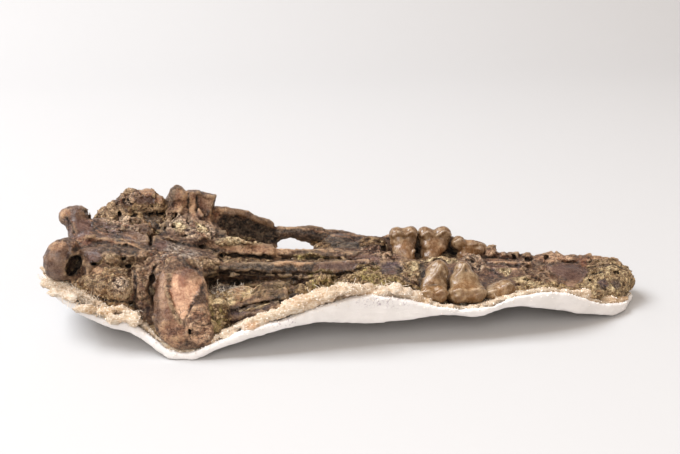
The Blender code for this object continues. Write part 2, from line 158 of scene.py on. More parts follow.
SKULL_BARS = [  # each bar is a run of (x, y, z, radius along X, along Y, along Z)
    [(-176, 23, 59, 7, 8, 8), (-169, 8, 50, 10, 9, 8)],  # neck of the right condyle
    [(-176, 20, 65, 2, 3, 2), (-174, 8, 58, 2, 3, 2)],
    [(-174, -14, 52, 7, 8, 5), (-150, -16, 47, 9, 9, 7)],  # ledge beside the left condyle
    [  # crest of the base
        (-166, -1, 57, 1.6, 1.4, 2), (-146, -3, 55.5, 1.6, 1.4, 2), (-126, -4, 53, 1.6, 1.4, 2),
    ],
    [(-169, 20, 58, 6, 6, 5), (-158, 21, 58, 6, 6, 5), (-146, 18, 55, 6, 6, 5), (-128, 12, 54, 4, 5, 4)],
    [  # right cheek arch, which is whole
        (-92, 56, 46, 8, 7, 10), (-77, 61, 39, 6, 4, 16), (-62, 64, 33, 6, 3.2, 17.5),
        (-46, 66, 29, 6, 3.2, 13), (-39, 67, 31, 4, 3.5, 6), (-30, 68, 32, 5, 3.6, 4.4),
        (-18, 68, 29.5, 5, 3.8, 6.5), (-6, 67, 27, 5, 4, 8), (8, 65, 24.5, 5, 5, 9),
        (24, 58, 21, 6, 7, 9.5), (40, 48, 20, 8, 9, 10),
    ],
    [(-94, 57, 52, 5, 5, 4), (-84, 59, 54, 4, 4, 3.5), (-67, 62, 50, 4, 3, 2.5), (-46, 66, 39.5, 4, 3, 2.5)],
    [  # left jaw joint, broken off and bent down over the rim
        (-105, -42, 52, 9, 7, 6), (-104, -48, 44, 14.5, 8, 8), (-103, -54, 34, 17.5, 9, 9),
        (-102, -59, 24, 19, 9.5, 9), (-101, -62, 15, 17.5, 9, 8), (-100, -65, 10, 12.5, 6.5, 5.5),
    ],
    [  # left paroccipital process
        (-130, -36, 45, 5.5, 4, 4), (-128, -43, 34, 5.5, 5, 6), (-126, -46, 22, 5, 5, 5),
    ],
    [(-95, -42, 18, 8, 8, 7), (-76, -49, 18, 7, 5, 6), (-56, -50, 18, 7, 4.5, 5), (-40, -46, 20, 6, 4, 4)],
    [(176, 15, 20, 4.5, 5, 4), (181, 14, 25, 1.6, 2, 1.6)],  # right outer incisor socket
    [  # outer tooth wall
        (30, 50, 22, 8, 4, 7), (44, 49, 27, 6, 4, 8), (61, 49, 28, 6, 4, 8.5), (86, 47, 24, 6, 4, 7.5),
        (104, 42, 19, 6, 4, 7),
    ],
    [(98, 36, 17, 7, 6, 7), (118, 31, 18, 8, 5, 5.5), (142, 25, 18, 8, 5, 4.5), (164, 19, 18, 6, 5, 4)],
    [(-133, -38, 30, 8, 6, 12), (-122, -46, 18, 6, 6, 8)],
]
# A beam runs along X through (x, y, z, half width, half height) with square shoulders
SKULL_BEAMS = [
    [(-166, 2, 43, 20, 10), (-140, 1, 42, 20, 12), (-112, -2, 39, 15, 11), (-84, -1, 34, 12, 9)],  # base
    [  # floor by the ridges
        (-98, 6, 28, 13, 10), (-60, 6, 27, 11, 10), (-40, 6, 23.5, 10, 10), (0, 4, 22, 12, 10),
    ],
    [  # palate and snout
        (-4, 3, 23, 15, 8), (25, 3, 20, 31, 9), (42, -5, 17, 33, 8.5), (80, -6, 16, 33, 8.5),
        (106, -2, 15, 32, 8.5), (122, 2, 14, 28, 8.5), (140, 3, 13, 24, 8.5), (160, 2, 12.5, 20, 8.5),
        (184, 1, 12.5, 14, 9), (201, 2, 14, 9, 6),
    ],
]
SKULL_RIDGES = [
    [  # core of the right pterygoid ridge
        (-96, 10, 38, 4, 5), (-84, 11, 39, 3, 4.5), (-70, 12, 38, 2.5, 4.5), (-54, 12, 35.5, 2.5, 4),
        (-33, 14, 33, 3, 3), (0, 15, 31, 3, 3), (30, 12, 27, 4, 3.5),
    ],
    [  # core of the left pterygoid ridge
        (-102, -12, 39, 5, 4.5), (-80, -12, 35, 3.5, 4.6), (-60, -12, 33.5, 3.2, 4),
        (-28, -13, 32.5, 3.2, 4), (-8, -13, 32, 4, 5), (8, -12, 31, 4, 5), (22, -12, 28, 6, 5),
    ],
]
# A slab is x, y, z, half sizes, degrees: flat pieces of broken bone
SKULL_SLABS = [
    (-147, 2, 49, 20, 20, 6.5, 15, 2, 0),  # plate of the base
    (-99, 50, 62, 4.8, 5, 9, -8, 4, 6),  # right jaw joint, in two blocks
    (-90.5, 51, 60, 5.4, 5, 9, -8, 12, -8),
    (-118, -1, 50, 8, 7, 2.5, 24, 8, 20),  # triangular plate at the base's front
    (-136, 6, 55, 10, 7, 2, 18, 6, -6),
    (-104, 28, 55, 9, 6, 2.4, 34, 10, 20),  # crushed plates in front of the right ear
    (-92, 24, 50, 8, 6, 2.2, 40, 12, -15), (-100, 38, 58, 7, 6, 2.2, 30, -6, 30),
    (-82, 22, 47, 7, 5, 2, 36, 14, 10), (-112, 36, 60, 6, 5, 2, 24, -10, -20),
    (-118, 22, 55, 6, 6, 2, 40, 4, 25),
    (-70, 13, 45, 14, 2, 1.6, 20, 4, -2),  # crust along the right ridge
    (-57, -44, 27, 19, 4, 1.8, 30, -8, 0),  # strips of bone in the left temporal hollow
    (-60, -52, 22.5, 17, 3.5, 2, 25, -9, 0),
    (158, 0, 21, 12, 6, 2, 16, 8, -6),  # smooth patch of the palate
    (106, 1, 24, 12, 4, 1.4, 24, 3, 4),  # palate ridges
    (116, -6, 22, 11, 4, 1.4, 26, 5, -6), (120, 7, 22.5, 16, 2.4, 2, 30, 3, 0),
    (36, -6, 30, 10, 5, 1.8, 20, 4, -12), (38, 6, 31, 8, 6, 2, 30, -6, 20),
    (52, -8, 29, 7, 5, 1.8, 26, 12, 30),
    (-68, 11, 40.6, 24, 4.6, 1.5, 50, 5, -1),  # plates of the right ridge
    (-26, 14, 34.6, 22, 3, 1.3, 48, 3, 0), (2, 14, 33, 14, 3, 1.3, 46, 1, 3),
    (18, 13, 31, 12, 3, 1.6, 44, 3, 4),
    (-62, -15, 35.5, 38, 5.4, 1.7, 58, 1, 0),  # plates of the left ridge
    (-6, -16, 34, 24, 5.4, 2.4, 56, 0, 2), (-84, -13, 39, 14, 5, 1.8, 46, 8, -6),
    (90, 4, 26, 7, 5, 2, 30, -8, 16), (97, -6, 24, 6, 5, 1.8, 28, 10, -24),
    (64, 38, 13, 32, 16, 7.5, 0, 2, 0),  # tooth bone of the right side
    (108, 28, 13, 20, 9, 6, 0, 2, -14),
    (113, 30, 25, 3.6, 3.6, 3.6, 45, 20, 35),  # walls of the empty right sockets
    (120, 28, 21, 4, 3, 4, 10, 10, 20), (129, 26, 21, 4, 3, 4, -10, -10, -20),
    (138, 24, 21.5, 3.2, 3.2, 3.2, 45, 15, 30), (150, 22, 22, 7, 3, 2, 20, -10, 8),
    (164, 18, 22, 7, 4, 2, 16, 14, -8), (190, 6, 22, 9, 6, 2, 20, 8, -10),
    (186, -4, 19, 7, 5, 2.4, 34, -10, 24), (172, 17, 19, 6, 4, 4.4, 12, 6, 0),
]
SKULL_PITS = [  # hollows sunk into the skull
    (-168.5, -35, 47, 6.5, 8, 9),  # left condylar fossa
    (-190, 18, 54.5, 7, 9, 5),  # undercuts of the right condyle
    (-166, 20, 67, 3, 8, 4),
    (-150, 10, 64, 16, 6, 6, 0, 3, 0),  # shallow troughs beside the crest of the base
    (-146, -12, 60, 20, 5, 6.5),
    (-114, 9, 60, 3, 16, 8, 0, 0, 40),  # furrow across the base
    (-95, 2, 53, 12, 3, 6, 0, 8, -18),
    (-117.5, 50, 74, 2.2, 12, 6),  # cleft before the postglenoid process
    (34, 42, 38, 3.5, 6, 4),  # opening behind the right molars
    (119, 27, 29, 2.6, 4, 5),  # empty right sockets
    (127, 26, 27, 2.6, 4, 3.5), (151, 18, 28, 3.4, 4, 4), (192, -1, 24, 5, 6, 4), (103, 39, 33, 3, 5, 3),
    (85, 33, 30, 5, 6, 7),  # void beside the right carnassial
    (64, 33, 30, 3, 8, 9),
    (121, -28, 22, 9, 6, 3.5),  # void over the near rim
    (-60, -22, 39, 28, 4, 5, 0, 3, 0),  # shadow line under the left ridge
    (-70, 3, 42, 26, 3.5, 3.5, 0, 6, 0),  # groove between the ridges
]
SKULL_SLITS = [  # slabs dug out as narrow cracks
    (-125.5, 0, 57, 0.9, 8, 7, 0, 0, 6), (96, -30, 30, 14, 0.8, 5, 0, 0, -4),
]
RIDGE_SHOULDER = 2.0
SLIT_ROUNDING = 0.3
JOINT_FACE = (-100, -71, 47, 15, 6, 22, -22, 0, 2)  # dug out for the left jaw joint's smooth face
JOINT_ROUNDING = 2.0

# Sediment that still holds the skull, below and beside it
MATRIX_BALLS = [
    (-150, -8, 22, 38, 42, 15),
    (-145, -38, 34.5, 13, 12, 12.5),  # over the left ear
    (-162, -38, 33, 12, 10, 10), (-150, -28, 42, 12, 8, 5), (-155, -46, 26, 9, 6, 5),
    (22, -30, 22, 36, 18, 12),  # behind the left molars
    (10, -34, 27, 14, 10, 9), (38, -34, 27, 10, 10, 8),
    (-16, -34, 25, 9, 9, 13),  # pillar beside the left ridge
    (-81, -56, 19, 8, 8, 14),  # beside the left jaw joint
    (-80, -34, 26, 9, 9, 8),  # pads in the left temporal hollow
    (-68, -36, 25, 9, 8, 7.5), (-46, -33, 25.5, 13, 8, 9), (-30, -36, 22, 10, 8, 8),
    (130, -24, 11, 48, 16, 10), (118, -36, 20, 10, 5, 4), (134, -32, 18, 12, 6, 5),
    (185, -7, 12, 21, 17, 12),  # round the snout's end
    (176, -14, 12, 12, 10, 7), (193, 5, 16, 10, 8, 7), (198, -2, 18, 7, 7, 5.4),
]
MATRIX_BEAMS = [
    [(-170, 4, 14, 40, 8), (-120, 8, 11, 68, 7), (-40, 12, 8, 62, 6), (40, 8, 10, 58, 8), (100, 2, 9, 46, 7),
     (160, 0, 8, 28, 5), (190, 0, 8, 18, 4)],
]
EAR_BALLS = [  # lumps of sediment and crushed bone over the right ear
    (-140, 44, 60, 12, 12, 15.5), (-131, 48, 64, 8, 8, 10), (-150, 37, 56, 13, 12, 13),
    (-160, 38, 56, 6, 7, 8), (-157, 34, 50, 7, 7, 7), (-130, 46, 60, 9, 10, 13),
    (-122, 44, 61, 4.2, 6, 9.5), (-138, 30, 52, 20, 11, 9), (-124, 30, 52, 10, 9, 8),
]

# Teeth: lobes of the crown first, then the root
TOOTH_TINTS = {"left": ("957d60", "9a7852", "826e56"), "right": ("8c7256", "9c7754", "7a6450")}
TEETH = {
    "right_second_molar": [
        (45.8, 42, 36.6, 5.4, 6, 5.0), (55.4, 42, 37, 5.4, 6.4, 5.0), (50.6, 42, 34, 10, 6, 5.4),
        (49.6, 34.2, 26.6, 8.2, 6.2, 6), (51.4, 31, 22.4, 6.2, 5.8, 5), (50, 36, 22, 7, 6, 7),
        (50, 38.4, 31, 9.4, 5.6, 5),
    ],
    "right_first_molar": [
        (67.5, 44, 35.6, 6, 6, 4.9), (80, 44, 35.4, 6, 6.4, 4.8), (73.6, 44, 32.6, 12, 6, 5),
        (70.8, 38, 23, 8.2, 5.4, 7), (67, 38, 28.2, 3.4, 3.6, 2.8), (78.4, 38.6, 26.6, 3.4, 3.6, 2.8),
        (69.6, 35, 20, 6.2, 5.4, 5.4), (73, 40.6, 29, 10.4, 5.4, 5),
    ],
    "right_carnassial": [
        (90.6, 38, 29.6, 5.2, 5.5, 5), (99, 36.5, 27, 8.4, 5.5, 4.6), (106, 35, 26.2, 5.4, 5.5, 4.2),
        (98, 35, 20, 9, 5, 6.4),
    ],
    "left_second_molar": [
        (60, -33, 35.5, 7.8, 6.8, 7.2), (61.5, -33, 40.4, 4.8, 4.4, 3.8), (57.4, -38, 31.5, 8, 5, 6),
        (51.2, -46.5, 26.4, 5.4, 6.4, 5.2), (59.4, -46.5, 26.2, 5.2, 6.4, 5.4), (57, -37, 25, 7.4, 7, 9),
        (56.6, -41, 29.6, 8.4, 5.4, 4.6),
    ],
    "left_first_molar": [
        (77.2, -33, 36.8, 6, 5.8, 5.8), (77, -37.6, 32, 10, 6.4, 6.6), (70.8, -47, 26.2, 6.4, 6.4, 5.8),
        (83.4, -46.5, 26, 6.4, 6.4, 5.6), (77.2, -45.5, 25, 12, 6.2, 5.6), (77, -36, 24, 8, 7, 9),
        (77.2, -42, 30, 10.4, 4.6, 4.6),
    ],
    "left_carnassial": [
        (94.6, -45, 24.6, 5, 5.5, 4.6), (103.8, -43, 26.6, 6, 6, 6), (100, -41, 25, 9, 5, 5),
        (100, -38, 23, 8, 6, 6), (99, -44.6, 25, 6, 5.6, 5),
    ],
}
# Worn crests that stand on the crowns: runs of (x, y, z, radius along X, along Y, along Z)
TOOTH_CRESTS = {
    "right_second_molar": [
        [(42.6, 37, 37, 1, 1.2, 1), (46, 36.6, 39.6, 1.2, 1.2, 1.2), (50.6, 36.6, 37, 1, 1, 1),
         (55.6, 36.4, 40, 1.2, 1.2, 1.2), (59, 37, 37, 1, 1.2, 1)],
        [(43.6, 30.4, 28, 1, 1, 1), (47, 28, 24, 1.2, 1.2, 1.2), (52, 26.4, 22, 1.3, 1.3, 1.3),
         (56.4, 29.6, 28, 1, 1, 1)],
    ],
    "right_first_molar": [
        [(63.6, 39, 36, 1, 1.2, 1), (67.6, 38.6, 38.6, 1.2, 1.2, 1.2), (73.6, 38.6, 35, 1, 1, 1),
         (80, 38.4, 38.6, 1.2, 1.2, 1.2), (84.6, 39, 35.6, 1, 1.2, 1)],
    ],
    "right_carnassial": [
        [(86.6, 34.6, 31.4, 1, 1, 1), (90.6, 34, 33.4, 1.2, 1.2, 1.2), (95.4, 33, 29.8, 1, 1, 1),
         (102, 32, 30.4, 1.2, 1.2, 1.2), (109, 32.6, 28.4, 1, 1, 1)],
    ],
    "left_second_molar": [
        [(54.6, -42, 34, 1.2, 1, 1.2), (58.6, -40, 38.4, 1.3, 1.2, 1.3), (61.6, -37.6, 42, 1.5, 1.3, 1.3),
         (63.8, -39, 38.4, 1.3, 1.2, 1.3), (65, -39.6, 35, 1, 1, 1.2)],
        [(46.6, -50, 28.6, 1, 1, 1), (51, -51.4, 30.6, 1.3, 1.2, 1.3), (55.4, -51, 28.6, 1, 1, 1),
         (59.6, -51.4, 30.6, 1.3, 1.2, 1.3), (63.6, -50, 28, 1, 1, 1)],
    ],
    "left_first_molar": [
        [(71, -41, 34.6, 1.2, 1, 1.2), (74.6, -39.6, 38.6, 1.3, 1.2, 1.3), (77.4, -37, 42, 1.5, 1.3, 1.3),
         (80, -39, 38.6, 1.3, 1.2, 1.3), (82, -39.6, 35.4, 1, 1, 1.2)],
        [(66, -50, 28.6, 1, 1, 1), (71, -51.8, 31, 1.4, 1.2, 1.3), (77, -51.2, 29, 1, 1, 1),
         (83.4, -51.6, 30.8, 1.4, 1.2, 1.3), (88.6, -50, 28, 1, 1, 1)],
    ],
    "left_carnassial": [
        [(91, -48, 26.4, 1, 1, 1), (95, -49.4, 28.4, 1.2, 1.2, 1.2), (98.8, -48.6, 26.6, 0.8, 0.8, 0.8)],
        [(99.6, -47.6, 28, 0.8, 0.8, 0.8), (104, -47.6, 31.6, 1.3, 1.2, 1.3), (109, -46, 27.6, 1, 1, 1)],
    ],
}
TOOTH_GROOVES = {  # runs dug out of the crowns
    "right_second_molar": [
        [(50.6, 34, 42.6, 0.7, 1.0, 1.2), (50.6, 49, 42.6, 0.7, 1.0, 1.2)],
    ],
    "right_first_molar": [
        [(73.6, 36, 41, 0.9, 1.0, 1.4), (73.6, 51, 41, 0.9, 1.0, 1.4)],
    ],
    "right_carnassial": [[(95.4, 30, 33.6, 0.9, 2, 1.8), (95.4, 43, 34, 0.9, 2, 1.8)]],
    "left_second_molar": [
        [(45, -45, 32.4, 1, 1.2, 1.0), (66, -45, 32.4, 1, 1.2, 1.0)],
        [(55.4, -54, 32, 0.7, 1.5, 1.6), (55.4, -49, 32, 0.7, 1.5, 1.2)],
    ],
    "left_first_molar": [
        [(77.4, -54, 32.2, 0.8, 1.6, 1.4), (77.4, -50, 32.2, 0.8, 1.2, 1.0)],
    ],
    "left_carnassial": [[(98.9, -52, 31, 0.7, 1.6, 1.4), (98.9, -45, 31.4, 0.7, 1.6, 1.4)]],
}

# The burlap lining along the near rim: a ledge through (x, y, z, radius along X, along Y, along Z), and lumps
LINING_LEDGE = [
    (-64, -67, 17.5, 3, 2.5, 2), (-56, -66.5, 21, 4, 3, 2.6), (-46.8, -66, 25.6, 4, 4, 3.6),
    (-37.6, -65.5, 29.6, 4, 4.6, 4), (-26.5, -64, 33.6, 4, 5.2, 4.4), (-14.7, -63, 36.4, 4, 5.6, 4),
    (-5.3, -61, 38.2, 4, 6, 3.6), (4, -59.5, 37.6, 4, 5, 3), (10, -59, 36, 3, 3, 2.4),
]
LINING_LUMPS = [
    (-188, -24, 35, 6, 5, 3), (-180, -32, 32, 8, 5, 3), (-172, -38, 31, 5, 5, 3.4),
    (-163, -46, 26, 7, 4, 3), (-151, -50, 25, 5, 4, 3.6), (-143, -54, 22, 7, 3, 3),
    (-131, -56, 21, 5, 3.4, 3), (16, -59, 34, 4, 3.4, 2.6), (22, -58, 35, 4, 3.4, 3),
    (29, -57.5, 36.4, 4.6, 3.6, 3.2), (35, -58, 33, 4, 3, 3.4), (42, -57, 30, 3.4, 3, 2.8),
    (49, -58, 26, 3, 2.4, 2), (-74, -69, 13, 4, 2.4, 2), (146, -42, 21, 7, 3.4, 2.4),
    (157, -38, 18, 6, 3.4, 2.4), (181, -27, 9, 7, 3.4, 2.4), (191, -23, 7.5, 6, 3.4, 2.4),
]

# How each kind of surface looks, with painted shade (shadowed) among them: tint, and how smooth, crushed and
# sandy it is
LOOKS = {
    "polished brown": ("6e584a", 1.0, 0.0, 0.0),
    "polished mauve": ("6c544e", 1.0, 0.0, 0.0),
    "polished tan": ("967c6a", 0.9, 0.0, 0.0),
    "polished pink": ("c4a48e", 1.0, 0.0, 0.0),
    "polished red": ("66504a", 1.0, 0.0, 0.0),
    "worn brown": ("645144", 0.35, 0.2, 0.0),
    # This tint is worn bone, and also the painted highlight on lit edges and tops.
    "worn and lit tan": ("b4967c", 0.4, 0.1, 0.0),
    # This tint is dark bone, and also the painted shade on the cheek arch's bar.
    "dark and shaded bone": ("3c302a", 0.6, 0.2, 0.0),
    "worn purple": ("584750", 0.4, 0.3, 0.0),
    "crushed grey": ("d8c4b4", 0.0, 1.0, 0.15),
    "crushed brown": ("b89c8c", 0.0, 1.0, 0.1),
    "rusty": ("7e5138", 0.3, 0.3, 0.0),
    "shadowed": ("3a2d22", 0.2, 0.4, 0.1),
    "putty": ("bab2b0", 0.3, 0.8, 0.0),
    "tan sand": ("d4c2a4", 0.0, 0.0, 1.0),
    "brown sand": ("8f7354", 0.0, 0.2, 1.0),
    "green sand": ("b2a272", 0.0, 0.0, 1.0),
    "pale sand": ("e4d4b8", 0.0, 0.2, 0.9),
    "broken bone": ("dcbca4", 0.1, 0.45, 0.05),
    "crumbly tan": ("e2c8ac", 0.0, 0.6, 0.45),
    "crumbly brown": ("c4a48c", 0.0, 0.8, 0.35),
    "cream pad": ("dccaa8", 0.3, 0.0, 0.3),
    "grey pad": ("88755a", 0.4, 0.0, 0.3),
}
# The fossil's patterns, in millimetres, and the last step of its colour
CHIP = 2.4
CLOD = 4.2
SAND_GRAIN = 1.8
FOSSIL_CONTRAST = 1.28
FOSSIL_LIFT = (1.42, 1.43, 1.33, 1.0)
